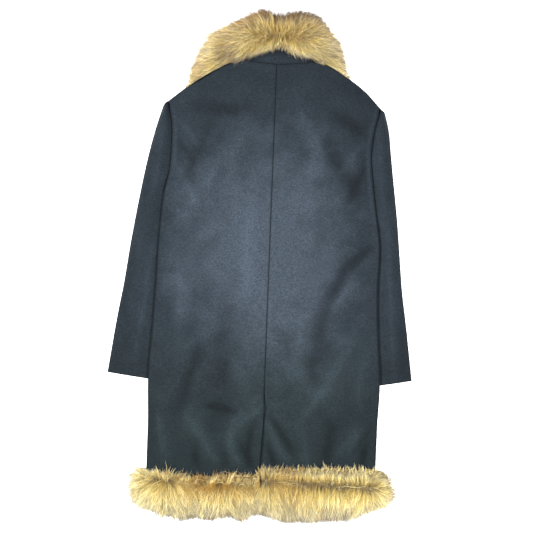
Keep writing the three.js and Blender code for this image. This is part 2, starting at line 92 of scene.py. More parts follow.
@dataclass(frozen=True)
class Table:
    """A smooth curve through a short table, which gives one size at another."""

    rows: tuple[tuple[float, float], ...]

    def __call__(self, at: Array | float) -> Array:
        """Reads the curve.

        Args:
            at: Where to read it, held within the table's first and last row.

        Returns:
            The sizes there.
        """
        keys, sizes = np.array(sorted(self.rows), float).T
        last = len(keys) - 1
        place = np.clip(at, keys[0], keys[-1])
        row = np.clip(np.searchsorted(keys, place) - 1, 0, last - 1)
        low = np.maximum(np.arange(last + 1) - 1, 0)
        high = np.minimum(np.arange(last + 1) + 1, last)
        slope = (sizes[high] - sizes[low]) / (keys[high] - keys[low])
        span = keys[row + 1] - keys[row]
        t = (place - keys[row]) / span
        value = lerp(sizes[row], sizes[row + 1], 3 * t**2 - 2 * t**3)
        leaving = slope[row] * (t**3 - 2 * t**2 + t)
        arriving = slope[row + 1] * (t**3 - t**2)
        return value + span * (leaving + arriving)


class Side(Enum):
    """A side of the coat, as the sign of its X."""

    LEFT = -1
    RIGHT = 1

    @property
    def tag(self) -> str:
        """The side's part of a piece's name."""
        return self.name.lower()


# Outline in plan. The edges of the body and the sleeves give the distance out from the
# centre line by Y, the stand gives its rise by X, and the others give Y by X.

SHOULDER_Y = -92.5  # where the shoulder seam meets the armhole
HEM_Y = -920.0  # about the middle of the hem
VENT_TOP = -757.0
UNDERARM_Y = {Side.LEFT: -295.0, Side.RIGHT: -365.0}
BODY_EDGE = {
    Side.LEFT: Table((
        (-92.5, 239), (-112, 234), (-140, 228), (-200, 227), (-245, 230), (-300, 240),
        (-400, 247), (-500, 250), (-600, 254), (-700, 259), (-800, 256), (-930, 254),
    )),
    Side.RIGHT: Table((
        (-92.5, 234.5), (-112, 230), (-143, 223), (-200, 218), (-262, 225), (-333, 235),
        (-400, 244), (-500, 243), (-600, 248), (-700, 256), (-800, 254), (-930, 252),
    )),
}
BACK_TOP = Table((
    (-245, -98), (-200, -62), (-150, -28), (-125, -14), (-95, 1), (-50, 2),
    (0, -2), (55, 2), (100, 5), (150, -22), (200, -57), (240, -98),
))
WOOL_HEM = Table(((-260, -925), (-120, -923), (0, -917), (120, -910), (260, -905)))
SLEEVE_OUTER = {
    Side.LEFT: Table((
        (-102, 248), (-150, 262), (-209, 276), (-285, 290),
        (-400, 308), (-500, 321), (-582, 334), (-701, 350),
    )),
    Side.RIGHT: Table((
        (-101, 244.5), (-143, 255), (-190, 261), (-252, 269), (-333, 280),
        (-395, 287), (-497, 298), (-568, 309), (-695, 327),
    )),
}
SLEEVE_INNER = {
    Side.LEFT: Table(((-340, 165), (-400, 147), (-500, 168), (-600, 192), (-712, 222))),
    Side.RIGHT: Table(((-410, 150), (-450, 138), (-500, 145), (-600, 171), (-708, 199))),
}
STAND_RISE = Table((
    (-128, 0), (-94, 4), (-50, 21), (0, 37), (50, 22), (99, 4), (133, 0),
))
BAND_TOP = Table((
    (-294, -940), (-290, -918), (-276, -902), (-255, -904), (-120, -905), (0, -898),
    (120, -892), (255, -890), (282, -892), (295, -912), (299, -935),
))
BAND_LOW = Table((
    (-294, -960), (-290, -984), (-276, -997), (-240, -1007), (-180, -1019), (-60, -1015),
    (-12, -1008), (12, -1010), (60, -1019), (180, -1013), (240, -997), (278, -984),
    (293, -968), (299, -955),
))


def by_side(x: Array, tables: dict[Side, Table], y: Array) -> Array:
    """Reads the left or the right table of a pair, by the sign of x."""
    return np.where(x < 0, tables[Side.LEFT](y), tables[Side.RIGHT](y))


def from_side(x: Array, y: Array) -> Array:
    """Distance in from the body's side edge."""
    return by_side(x, BODY_EDGE, y) - np.abs(x)


def above_underarm(x: Array, y: Array) -> Array:
    """Height above the underarm on the side of x."""
    return y - np.where(x < 0, UNDERARM_Y[Side.LEFT], UNDERARM_Y[Side.RIGHT])


def front_top(x: Array) -> Array:
    """Height of the fronts' neck and shoulder edge."""
    half, low = 95.0, -108.0
    across = np.clip(np.abs(x) / half, 0, 1)
    neck = lerp(BACK_TOP(np.sign(x) * half), low, np.sqrt(1 - across**2))
    return np.where(np.abs(x) >= half, BACK_TOP(x), neck)


# Folds.


@dataclass(frozen=True)
class Fold:
    """A crease: a bent line, its half width, and its height, below zero for a trough."""

    start: tuple[float, float]
    bend: tuple[float, float]
    end: tuple[float, float]
    wide: float
    high: float

    def height(self, x: Array, y: Array) -> Array:
        """Height of the crease, which fades across it and towards its ends.

        Args:
            x: Places across the coat.
            y: Places along the coat.

        Returns:
            The heights there.
        """
        samples = 48
        t = np.linspace(0, 1, samples)[:, None]
        start, bend, end = (np.array(p, float) for p in (self.start, self.bend, self.end))
        line = (1 - t) ** 2 * start + 2 * t * (1 - t) * bend + t**2 * end
        gaps = np.hypot(x[..., None] - line[:, 0], y[..., None] - line[:, 1])
        along = gaps.argmin(-1) / (samples - 1)
        ends = np.sqrt(np.sin(np.pi * lerp(0.08, 0.92, along)))
        profile = crest if self.high > 0 else bump
        return self.high * ends * profile(gaps.min(-1), self.wide)


# The largest folds of the back, which its solids have too.
LARGE_FOLDS = (
    Fold((245, -400), (118, -470), (107, -690), 20, -3.2),
    Fold((199, -587), (150, -700), (78, -800), 22, 3),
    Fold((102, -160), (150, -215), (196, -300), 20, -3),
    Fold((130, -105), (170, -135), (212, -146), 16, -3),
    Fold((-148, -150), (-165, -200), (-200, -270), 13, -2.6),
    Fold((-105, -190), (-130, -260), (-190, -345), 18, 2),
    Fold((-85, -560), (-110, -660), (-95, -800), 28, -2.4),
    Fold((-48, -780), (-92, -822), (-50, -896), 15, 4.5),
    Fold((-173, -785), (-118, -845), (-100, -896), 17, 4),
    Fold((-244, -775), (-222, -830), (-205, -890), 15, 4),
    Fold((12, -800), (36, -850), (62, -892), 14, 3.6),
    Fold((246, -800), (200, -815), (196, -870), 14, 4),
)

# Smaller creases of the back: drags at the armholes, slack beside the vent and waves
# that the hem's weight pulls into the cloth.
SMALL_FOLDS = (
    Fold((-222, -128), (-190, -150), (-160, -196), 8, 2.0),
    Fold((-224, -176), (-200, -190), (-178, -224), 7, -1.7),
    Fold((-222, -232), (-196, -262), (-166, -322), 9, 1.5),
    Fold((-60, -96), (-112, -116), (-170, -100), 18, -1.8),
    Fold((214, -158), (182, -186), (158, -236), 8, 1.8),
    Fold((216, -214), (190, -250), (172, -300), 9, -1.8),
    Fold((60, -110), (100, -150), (120, -230), 20, 1.8),
    Fold((222, -430), (176, -470), (150, -540), 12, 2.1),
    Fold((70, -560), (84, -620), (62, -700), 22, 1.8),
    Fold((-210, -420), (-180, -520), (-196, -640), 22, 1.8),
    Fold((-40, -330), (-60, -450), (-34, -560), 26, 1.5),
    Fold((-150, -640), (-168, -710), (-190, -780), 14, -2.0),
    Fold((-20, -800), (-38, -850), (-20, -896), 9, -2.4),
    Fold((-86, -860), (-80, -880), (-82, -900), 9, -2.1),
    Fold((-146, -850), (-150, -874), (-140, -900), 10, -2.2),
    Fold((12, -846), (24, -872), (30, -898), 8, -3.0),
    Fold((90, -826), (104, -856), (100, -896), 14, 2.4),
    Fold((150, -800), (150, -850), (140, -896), 16, -2.2),
    Fold((232, -842), (222, -864), (226, -890), 9, -2.7),
    Fold((226, -640), (206, -700), (214, -760), 14, 2.0),
    Fold((0, -758), (-28, -786), (-58, -808), 9, 2.4),
    Fold((-134, -768), (-100, -766), (-64, -778), 8, -2.6),
    Fold((14, -785), (42, -818), (74, -872), 9, -2.8),
    Fold((242, -798), (222, -822), (196, -864), 8, -2.6),
    Fold((212, -806), (176, -836), (160, -880), 12, 1.6),
    Fold((100, -150), (70, -220), (96, -320), 24, 1.4),
    Fold((238, -396), (196, -420), (160, -462), 9, -2.4),
    Fold((214, -470), (170, -500), (140, -560), 10, 1.8),
    Fold((196, -615), (148, -700), (84, -796), 5, 1.4),
    Fold((-6, -774), (-62, -800), (-70, -832), 5, 1.8),
    Fold((-70, -822), (-68, -862), (-46, -892), 5, 2.0),
    Fold((-56, -836), (-38, -862), (-30, -892), 8, -2.2),
    Fold((-146, -816), (-122, -846), (-104, -884), 5, 2.0),
    Fold((10, -790), (30, -830), (58, -884), 5, 1.7),
    Fold((250, -792), (228, -812), (200, -850), 5, 1.8),
    Fold((-236, -790), (-226, -840), (-216, -892), 5, 1.7),
)

# Soft folds of the sleeves, by the sign of their X.
SLEEVE_FOLDS = (
    Fold((-258, -400), (-272, -540), (-292, -690), 11, 2.0),
    Fold((-300, -420), (-310, -500), (-322, -570), 9, -0.9),
    Fold((-244, -150), (-252, -210), (-262, -300), 9, 1.1),
    Fold((-262, -210), (-276, -250), (-282, -330), 8, -0.8),
    Fold((262, -360), (272, -500), (288, -690), 9, 1.8),
    Fold((300, -560), (300, -620), (312, -680), 8, -0.9),
    Fold((234, -150), (240, -220), (250, -320), 8, 1.0),
)


def fold_height(folds: Sequence[Fold], x: Array, y: Array) -> Array:
    """The sum of several creases."""
    return sum(fold.height(x, y) for fold in folds)


# Heights of the layers.


@dataclass(frozen=True)
class Layers:
    """Undersides of the coat's layers, as they lie on the collar, the hem and the sleeves."""

    collar_rest: float = 20.3
    hem_rest: float = 24.0
    sleeve_rest: float = 5.4
    body_fullness: float = 4.0
    armhole_fullness: float = 4.0
    seam_ease: float = 0.7
    collar_half: float = 148.0
    collar_beside: float = 98.0
    collar_low: float = -205.0

    def collar_lift(self, x: Array, y: Array, below: float) -> Array:
        """How much the turned-down collar lifts the cloth, fading over a distance below it."""
        beside = np.maximum(np.abs(x) - self.collar_half, 0) / self.collar_beside
        past = np.maximum(self.collar_low - y, 0) / below
        return self.collar_rest * (1 - smoothstep(np.hypot(beside, past), 0, 1))

    def hem_lift(self, x: Array, y: Array, height: float) -> Array:
        """How much the hem band lifts the cloth, fading up to a height above the hem."""
        return self.hem_rest * (1 - smoothstep(y - WOOL_HEM(x), 20, height))

    def sleeve_lift(self, x: Array, y: Array) -> Array:
        """How much the sleeves lift the body's edges."""
        inner = by_side(x, SLEEVE_INNER, y)
        across = smoothstep(np.abs(x), inner - 110, inner - 30)
        top = smoothstep(-above_underarm(x, y), -110, -8)
        return self.sleeve_rest * across * top * (1 - smoothstep(-y, 735, 800))

    def front_low(self, x: Array, y: Array) -> Array:
        """Underside of the right front."""
        collar, hem = self.collar_lift(x, y, 130), self.hem_lift(x, y, 130)
        return np.maximum(np.maximum(collar, hem), self.sleeve_lift(x, y))

    def overlap_rise(self, x: Array, y: Array) -> Array:
        """How far the left front stands up over the right one at the centre."""
        return FREE_PLY * (1 - smoothstep(np.abs(x), 35, 110)) * smoothstep(-y, 20, 90)

    def left_front_low(self, x: Array, y: Array) -> Array:
        """Underside of the left front."""
        return self.front_low(x, y) + self.overlap_rise(x, y)

    def away_from_seams(self, x: Array, y: Array) -> Array:
        """Share of the back's own form, none along its seams and hem."""
        from_hem = smoothstep(y - WOOL_HEM(x), 18, 50)
        return smoothstep(from_side(x, y), 0, 50) * from_hem * smoothstep(BACK_TOP(x) - y, 0, 45)

    def armhole_rise(self, x: Array, y: Array) -> Array:
        """Fullness of the back along an armhole, where the sleeve opens into the body."""
        near = 1 - smoothstep(from_side(x, y), 40, 120)
        above = smoothstep(above_underarm(x, y), 10, 70)
        return self.armhole_fullness * near * above * smoothstep(BACK_TOP(x) - y, 0, 30)

    def back_low(self, x: Array, y: Array) -> Array:
        """Underside of the right back, with its largest folds."""
        front = self.front_low(x, y)
        drape = np.maximum(self.collar_lift(x, y, 220), self.hem_lift(x, y, 180)) - front
        own = self.body_fullness + np.maximum(drape, 0) + fold_height(LARGE_FOLDS, x, y)
        own = np.maximum(self.away_from_seams(x, y) * own, 0)
        near_top = 1 - smoothstep(BACK_TOP(x) - y, 0, 80)
        ease = self.seam_ease * np.maximum(near_top, 1 - smoothstep(np.abs(x), 120, 170))
        return front + self.overlap_rise(x, y) + PLY + ease + own + self.armhole_rise(x, y)

    def left_back_low(self, x: Array, y: Array) -> Array:
        """Underside of the left back, which also lies on the vent's underlap."""
        rise = smoothstep(x, -90, -42) * smoothstep(VENT_TOP - y, -43, 0)
        return self.back_low(x, y) + FREE_PLY * rise


LAYERS = Layers()

STAND_SLOPE = 8.0  # rise of the collar stand from the neck to its top
NECK_LOW = float(LAYERS.back_low(np.zeros(1), np.zeros(1))[0])  # the back's underside there
SURFACE_GAP = 0.4  # between the surface and the lowest hairs
WOOL_GAP = 0.6  # between the wool and the hairs over it


# Making meshes.


def to_frame(x: Array, y: Array, z: Array) -> Array:
    """Places in the part's frame, in metres, from places in the coat's."""
    return np.stack([x + NECK_POINT[0], y + NECK_POINT[1], z], -1) * MM


def shaped(mesh: Mesh, *steps: Callable[[bmesh.types.BMesh], object]) -> Mesh:
    """Takes a mesh through steps that edit it.

    Args:
        mesh: The mesh, which may be empty.
        *steps: What is done to it, in order.

    Returns:
        The same mesh.
    """
    form = bmesh.new()
    form.from_mesh(mesh)
    for step in steps:
        step(form)
    form.to_mesh(mesh)
    form.free()
    return mesh


def turn_outward(form: bmesh.types.BMesh) -> None:
    """Turns a form's faces outward."""
    bmesh.ops.recalc_face_normals(form, faces=form.faces)


def read_vertices(mesh: Mesh) -> Array:
    """Places of a mesh's vertices, in rows."""
    places = np.zeros(len(mesh.vertices) * 3)
    mesh.vertices.foreach_get("co", places)
    return places.reshape(-1, 3)


def move_vertices(mesh: Mesh, places: Array) -> None:
    """Moves all of a mesh's vertices."""
    mesh.vertices.foreach_set("co", places.astype(np.float32).ravel())
    mesh.update()


def mark_vertices(mesh: Mesh, marks: dict[str, Array]) -> None:
    """Gives a mesh's vertices values that its finish reads by name."""
    for name, values in marks.items():
        mesh.attributes.new(name, "FLOAT", "POINT").data.foreach_set("value", values.astype(np.float32))


def shade_smooth(mesh: Mesh) -> None:
    """Shades all of a mesh's faces smooth."""
    mesh.polygons.foreach_set("use_smooth", np.ones(len(mesh.polygons), bool))


def grid_shares(
    name: str, columns: int, rows: int, crowding: tuple[float, float],
) -> tuple[Mesh, Array, Array]:
    """Makes a grid whose lines stand closer together towards its edges.

    Args:
        name: The mesh's name.
        columns: Faces across it.
        rows: Faces up it.
        crowding: How much closer the lines stand at the sides, and at the ends.

    Returns:
        The mesh, and for each vertex its share across and its share up, from 0 to 1.
    """
    size = {"x_segments": columns, "y_segments": rows, "size": 0.5}
    mesh = shaped(bpy.data.meshes.new(name), lambda form: bmesh.ops.create_grid(form, **size))
    u, v = read_vertices(mesh)[:, :2].T + 0.5
    u, v = (w - c * np.sin(2 * np.pi * w) / (2 * np.pi) for w, c in zip((u, v), crowding))
    return mesh, u, v


def plan_area(mesh: Mesh) -> float:
    """Area of a mesh's faces seen from above, in square metres."""
    return sum(abs(face.area * face.normal.z) for face in mesh.polygons)


def add_piece(mesh: Mesh, slot: str, finish: Material, *nodes: str) -> Object:
    """Adds a mesh as a piece of the coat.

    Args:
        mesh: The mesh, in the part's frame, which gives the piece its name.
        slot: A name for the material's slot; not used.
        finish: Its material.
        *nodes: The solids that the piece stands for, if any.

    Returns:
        The piece.
    """
    piece = bpy.data.objects.new(mesh.name, mesh)
    bpy.context.scene.collection.objects.link(piece)
    mesh.materials.append(finish)
    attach(piece, "root")
    if nodes:
        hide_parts(*nodes)
    log.info("%s: %d faces", piece.name, len(mesh.polygons))
    return piece


def add_cloth(mesh: Mesh, wool: Material, flat: tuple[float, float], area: float, *nodes: str) -> None:
    """Adds a mesh as a piece of cloth, which it gives the cloth's thickness.

    Args:
        mesh: The middle of the cloth.
        wool: Its material.
        flat: Width and length of the cut; not used.
        area: Area of the cut, in square metres; not used.
        *nodes: The solids that the piece stands for.
    """
    piece = add_piece(mesh, "wool_melton", wool, *nodes)
    wall = piece.modifiers.new("cloth wall", "SOLIDIFY")
    wall.thickness = CLOTH * MM
    wall.offset = 0.0
    shade_smooth(mesh)


def rounded_form(name: str, rings: int, sides: int, point: Callable[[Array, Array], Array]) -> Mesh:
    """A closed form round a line, with its ends drawn together.

    Args:
        name: The mesh's name.
        rings: Sections along it.
        sides: Points round a section.
        point: Gives places from the share along and the angle round the line.

    Returns:
        The mesh.
    """
    size = {"u_segments": sides, "v_segments": rings, "radius": 1.0}
    mesh = shaped(bpy.data.meshes.new(name), lambda form: bmesh.ops.create_uvsphere(form, **size))
    spots = read_vertices(mesh)
    along = np.arcsin(np.clip(spots[:, 2], -1, 1)) / np.pi + 0.5
    angle = np.arctan2(spots[:, 1], spots[:, 0])
    move_vertices(mesh, point(along, angle))
    shaped(mesh, turn_outward)
    shade_smooth(mesh)
    return mesh


# Finishes.

GUARD_SHARE = 0.08  # share of the hairs that are long and have dark tips


def linear(colour: str) -> tuple[float, float, float, float]:
    """Turns an sRGB hex colour into linear red, green, blue and alpha."""
    parts = [int(colour[k : k + 2], 16) / 255 for k in (1, 3, 5)]
    red, green, blue = (p / 12.92 if p <= 0.04045 else ((p + 0.055) / 1.055) ** 2.4 for p in parts)
    return red, green, blue, 1.0


def set_inputs(tree: NodeTree, node: Node, inputs: Inputs) -> None:
    """Sets a node's inputs.

    Args:
        tree: The material's nodes.
        node: The node.
        inputs: For each input, a value, or an output or a node's first output to link to it.
    """
    for socket, value in inputs.items():
        if isinstance(value, Node):
            value = value.outputs[0]
        if isinstance(value, NodeSocket):
            tree.links.new(value, node.inputs[socket])
        else:
            node.inputs[socket].default_value = value


def add_node(tree: NodeTree, kind: str, inputs: Inputs | None = None, **settings: object) -> Node:
    """Adds a node with its settings and links.

    A range's inputs 1 to 4 are its old and its new ends. A mix's inputs 6 and 7 are its
    two colours, and its output 2 is the mixed one.

    Args:
        tree: The material's nodes.
        kind: The node's type, as a shader node.
        inputs: Its inputs, as set_inputs takes them.
        **settings: The node's own properties.

    Returns:
        The node.
    """
    node = tree.nodes.new(f"ShaderNode{kind}")
    for name, value in settings.items():
        setattr(node, name, value)
    set_inputs(tree, node, inputs or {})
    return node


def set_ramp(node: Node, stops: Sequence[tuple[float, str]]) -> None:
    """Sets a colour ramp's stops from places and hex colours."""
    elements = node.color_ramp.elements
    while len(elements) < len(stops):
        elements.new(0.5)
    for element, (place, colour) in zip(elements, stops):
        element.position = place
        element.color = linear(colour)


def in_a_metre(size: float) -> float:
    """How many patches of a size in millimetres lie along a metre, as a pattern's scale."""
    return 1 / (size * MM)


def new_material(name: str) -> tuple[Material, NodeTree, Node]:
    """A new material, its nodes and its shader."""
    material = bpy.data.materials.new(name)
    material.use_nodes = True
    return material, material.node_tree, material.node_tree.nodes["Principled BSDF"]


@dataclass(frozen=True)
class WoolMelton:
    """Milled wool with a short brushed nap: dull, with a painted pool of light over the middle of the back.
    """

    # The ramp from dark to pale carries the painted pool of light, dark at the edges and pale over the middle
    # of the back, with random clouds.
    dark: str = "#1a2026"
    middle: str = "#21282e"
    pale: str = "#363e47"
    low: str = "#f4ffee"  # what the hem's colour is multiplied by
    # Colour of the painted shade in the seams, beside the edges and under the collar's fur.
    line: str = "#0d1114"
    sheen: str = "#93a3b0"
    # Centre and reach of the painted pool of light.
    painted_light_middle: tuple[float, float] = (0.0, 0.03)  # in the part's frame, in metres
    painted_light_reach: tuple[float, float] = (0.40, 0.52)
    low_from: tuple[float, float] = (-0.10, -0.40)
    fibre: float = 3.0  # drawn coarser than the real 0.3 mm, so that it shows
    cloud: float = 45.0
    slub: tuple[float, float] = (7.0, 2.2)

    def material(self) -> Material:
        """Builds the material.

        Returns:
            The material.
        """
        material, tree, shader = new_material("milled wool melton")
        places = add_node(tree, "TexCoord").outputs["Object"]
        clouds = add_node(tree, "TexNoise", {
            "Vector": places, "Scale": in_a_metre(self.cloud), "Detail": 4.0,
        })
        reach_x, reach_y = self.painted_light_reach
        centre_x, centre_y = self.painted_light_middle
        spread = add_node(tree, "Mapping", {
            0: places, 1: (-centre_x / reach_x, -centre_y / reach_y, 0), 3: (1 / reach_x, 1 / reach_y, 0),
        })
        # Painted light: a spherical pool, pale over the middle of the back and darker out to its edges.
        painted_light_pool = add_node(tree, "TexGradient", {0: spread}, gradient_type="SPHERICAL").outputs["Fac"]
        cloudy = add_node(tree, "MapRange", {0: clouds, 1: 0.3, 2: 0.7, 3: -0.12, 4: 0.12})
        level = add_node(tree, "Math", {0: painted_light_pool, 1: cloudy}, operation="ADD")
        tone = add_node(tree, "ValToRGB", {0: level})
        set_ramp(tone, [(0.02, self.dark), (0.38, self.middle), (0.8, self.pale)])
        fibres = add_node(tree, "TexNoise", {
            "Vector": places, "Scale": in_a_metre(self.fibre), "Detail": 3.0,
        })
        flecks = add_node(tree, "MapRange", {0: fibres, 1: 0.3, 2: 0.7, 3: 0.72, 4: 1.28})
        stretch = add_node(tree, "Mapping", {0: places, 3: (1 / self.slub[0], 1 / self.slub[1], 0.2)})
        slubs = add_node(tree, "TexNoise", {"Vector": stretch, "Scale": 1 / MM, "Detail": 1.0})
        streaks = add_node(tree, "MapRange", {0: slubs, 1: 0.3, 2: 0.7, 3: 0.86, 4: 1.14})
        grain = add_node(tree, "Math", {0: flecks, 1: streaks}, operation="MULTIPLY")
        shaded = add_node(tree, "VectorMath", {0: tone, 1: grain}, operation="MULTIPLY")
        relief = add_node(tree, "Attribute", attribute_name="relief").outputs["Fac"]
        # Painted highlight and shade: crests of the creases lighter, troughs darker.
        painted_crease_shade = add_node(tree, "MapRange", {0: relief, 1: -1.0, 2: 1.0, 3: 0.5, 4: 1.5})
        creased = add_node(tree, "VectorMath", {0: shaded, 1: painted_crease_shade}, operation="MULTIPLY")
        height = add_node(tree, "SeparateXYZ", {0: places}).outputs["Y"]
        lowness = add_node(tree, "MapRange", {0: height, 1: self.low_from[0], 2: self.low_from[1]})
        greener = add_node(tree, "Mix", {
            0: lowness, 6: creased, 7: linear(self.low),
        }, data_type="RGBA", blend_type="MULTIPLY")
        # Painted shade: dark lines in the seams' grooves, beside the edges that lie over other cloth, and
        # under the collar's fur.
        seam_and_edge_shade = add_node(tree, "Attribute", attribute_name="seam_and_edge_shade").outputs["Fac"]
        with_seam_and_edge_shade = add_node(tree, "Mix", {
            0: seam_and_edge_shade, 6: greener.outputs[2], 7: linear(self.line),
        }, data_type="RGBA")
        coarse = add_node(tree, "Bump", {"Strength": 0.25, "Distance": 0.4 * MM, "Height": slubs})
        nap = add_node(tree, "Bump", {
            "Strength": 0.35, "Distance": 0.5 * MM, "Height": fibres, "Normal": coarse,
        })
        set_inputs(tree, shader, {
            "Base Color": with_seam_and_edge_shade.outputs[2], "Normal": nap, "Roughness": 0.92, "Specular IOR Level": 0.12,
            "Sheen Weight": 0.05, "Sheen Roughness": 0.5, "Sheen Tint": linear(self.sheen),
        })
        return material


@dataclass(frozen=True)
class FauxFurPile:
    """Long acrylic pile: dark grounds, honey middles and cream tips, with some dark guard hairs."""

    ground: str = "#5f5430"
    low: str = "#bda452"
    middle: str = "#f0dd88"
    cream: str = "#fff5c6"
    tip: str = "#a8946a"
    ochre: str = "#a1771f"
    grey: str = "#9c9374"
    guard: str = "#4c3f3c"
    patch: float = 26.0

    def material(self) -> Material:
        """Builds the material, which reads each hair's own attributes.

        Returns:
            The material.
        """
        material, tree, shader = new_material("faux fur pile")
        reads = {
            name: add_node(tree, "Attribute", attribute_name=name).outputs["Fac"]
            for name in ("along", "lock", "hair", "gold")
        }
        places = add_node(tree, "TexCoord").outputs["Object"]
        length = add_node(tree, "ValToRGB", {0: reads["along"]})
        set_ramp(length, [
            (0.0, self.ground), (0.28, self.low), (0.58, self.middle), (0.82, self.cream), (1.0, self.tip),
        ])
        patches = add_node(tree, "TexNoise", {
            "Vector": places, "Scale": in_a_metre(self.patch), "Detail": 1.0,
        })
        creamy = add_node(tree, "MapRange", {0: reads["hair"], 1: 0.75, 2: 1.0, 3: 0.0, 4: 0.5})
        bleached = add_node(tree, "Mix", {
            0: creamy, 6: length, 7: linear(self.cream),
        }, data_type="RGBA")
        warm = add_node(tree, "Mix", {
            0: reads["gold"], 6: bleached.outputs[2], 7: linear(self.ochre),
        }, data_type="RGBA")
        greyness = add_node(tree, "MapRange", {0: patches, 1: 0.6, 2: 0.78, 3: 0.0, 4: 0.28})
        mixed = add_node(tree, "Mix", {
            0: greyness, 6: warm.outputs[2], 7: linear(self.grey),
        }, data_type="RGBA")
        bright = add_node(tree, "MapRange", {0: reads["lock"], 1: 0.0, 2: 1.0, 3: 0.64, 4: 1.3})
        varied = add_node(tree, "MapRange", {0: reads["hair"], 1: 0.0, 2: 1.0, 3: 0.7, 4: 1.2})
        tone = add_node(tree, "Math", {0: bright, 1: varied}, operation="MULTIPLY")
        shaded = add_node(tree, "VectorMath", {0: mixed.outputs[2], 1: tone}, operation="MULTIPLY")
        is_guard = add_node(tree, "Math", {0: reads["hair"], 1: GUARD_SHARE}, operation="LESS_THAN")
        tip = add_node(tree, "MapRange", {0: reads["along"], 1: 0.52, 2: 0.8, 3: 0.0, 4: 0.95})
        dark_tip = add_node(tree, "Math", {0: is_guard, 1: tip}, operation="MULTIPLY")
        done = add_node(tree, "Mix", {
            0: dark_tip, 6: shaded, 7: linear(self.guard),
        }, data_type="RGBA")
        set_inputs(tree, shader, {
            "Base Color": done.outputs[2], "Roughness": 0.55, "Specular IOR Level": 0.35,
            "Sheen Weight": 0.15,
        })
        return material


@dataclass(frozen=True)
class UnderFur:
    """The short dense wool at the foot of the pile: brown, dull and furrowed."""

    dark: str = "#55462a"
    pale: str = "#8a7740"
    furrow: float = 3.0

    def material(self) -> Material:
        """Builds the material.

        Returns:
            The material.
        """
        material, tree, shader = new_material("faux fur ground")
        places = add_node(tree, "TexCoord").outputs["Object"]
        stretch = add_node(tree, "Mapping", {0: places, 3: (1.0, 0.25, 0.25)})
        furrows = add_node(tree, "TexNoise", {
            "Vector": stretch, "Scale": in_a_metre(self.furrow), "Detail": 3.0,
        })
        tone = add_node(tree, "ValToRGB", {0: furrows})
        set_ramp(tone, [(0.35, self.dark), (0.7, self.pale)])
        raised = add_node(tree, "Bump", {"Strength": 0.9, "Distance": 2.0 * MM, "Height": furrows})
        set_inputs(tree, shader, {"Base Color": tone, "Normal": raised, "Roughness": 0.85})
        return material


@dataclass(frozen=True)
class Finishes:
    """The coat's materials."""

    wool: Material = field(default_factory=lambda: WoolMelton().material())
    pile: Material = field(default_factory=lambda: FauxFurPile().material())
    ground: Material = field(default_factory=lambda: UnderFur().material())


# The wool pieces.


def rolled_edge(distance: Array, radius: float = 4.0, drop: float = 2.3) -> Array:
    """How far cloth bends down at a turned edge, by the distance in from it."""
    inside = np.clip(1 - distance / radius, 0, 1)
    return drop * (1 - np.sqrt(np.maximum(1 - inside**2, 0)))


def pressed_seam(distance: Array, depth: float = 0.9, ridge: float = 0.5) -> Array:
    """A seam's groove, with the ridge of its turnings beside it."""
    return ridge * bump(distance - 7, 5) - depth * bump(distance, 1.8)


def mark_wool(mesh: Mesh, seam_and_edge_shade: Array, relief: Array) -> None:
    """Gives the wool's finish what it reads from each vertex.

    Args:
        mesh: The cloth's middle.
        seam_and_edge_shade: How much painted shade a vertex takes in a seam's groove or beside an edge, from
            0 to 1.
        relief: How far it lies up a ridge, or down a trough below zero, from -1 to 1, which the finish paints
            as a highlight on crests and shade in troughs.
    """
    mark_vertices(mesh, {"seam_and_edge_shade": np.clip(seam_and_edge_shade, 0, 1), "relief": np.clip(relief, -1, 1)})


def panel_places(
    side: Side, centre: Callable[[Array], Array], top: Callable[[Array], Array], inset: float = 0.0,
) -> Places:
    """Places of a body panel between its centre edge, side edge, hem and top.

    Args:
        side: The side of the coat.
        centre: X of the centre edge at a height y.
        top: Y of the top edge at a place x.
        inset: How far the side edge is drawn in.

    Returns:
        A function from the share out to the side and the share up to places.
    """
    sign = side.value
    edge = BODY_EDGE[side]
    hem = WOOL_HEM(sign * edge(HEM_Y))
    inner_hem = (centre(WOOL_HEM(0.0)), WOOL_HEM(0.0))
    inner_top = (centre(np.array(0.0)), top(centre(np.array(0.0))))
    outer_hem = (sign * (edge(hem) - inset), hem)
    outer_top = (sign * (edge(SHOULDER_Y) - inset), SHOULDER_Y)

    def places(u: Array, v: Array) -> tuple[Array, Array]:
        """Blends the four edges."""
        outer_y = lerp(hem, SHOULDER_Y, v)
        inner_y = lerp(inner_hem[1], inner_top[1], v)
        low_x = lerp(inner_hem[0], outer_hem[0], u)
        top_x = lerp(inner_top[0], outer_top[0], u)
        across = (lerp(centre(inner_y), sign * (edge(outer_y) - inset), u), lerp(inner_y, outer_y, u))
        upward = (lerp(low_x, top_x, v), lerp(WOOL_HEM(low_x), top(top_x), v))
        both = [
            lerp(lerp(inner_hem[k], outer_hem[k], u), lerp(inner_top[k], outer_top[k], u), v) for k in (0, 1)
        ]
        return across[0] + upward[0] - both[0], across[1] + upward[1] - both[1]

    return places


def cut_cloth(
    part: str, wool: Material, grid: tuple[int, int], side: Side, places: Places,
    middle: Height, seam_and_edge_shade: Height, relief: Height,
) -> None:
    """Adds a panel of cloth.

    Args:
        part: The word before the side in its solid's name.
        wool: Its material.
        grid: Faces across and up it.
        side: The side of the coat.
        places: Gives places from the share out to the side and the share up.
        middle: Height of the middle of the cloth.
        seam_and_edge_shade: Share of the painted shade along its seams and edges.
        relief: How its creases stand up or sink in, which the finish paints as lighter crests and darker
            troughs.
    """
    node = f"{part}_{side.tag}"
    mesh, u, v = grid_shares(f"{node}_cloth", *grid, crowding=(0.8, 0.6))
    x, y = places(1 - u if side is Side.LEFT else u, v)
    move_vertices(mesh, to_frame(x, y, middle(x, y)))
    mark_wool(mesh, seam_and_edge_shade(x, y), relief(x, y))
    add_cloth(mesh, wool, (float(np.ptp(x)), float(np.ptp(y))), plan_area(mesh), node)


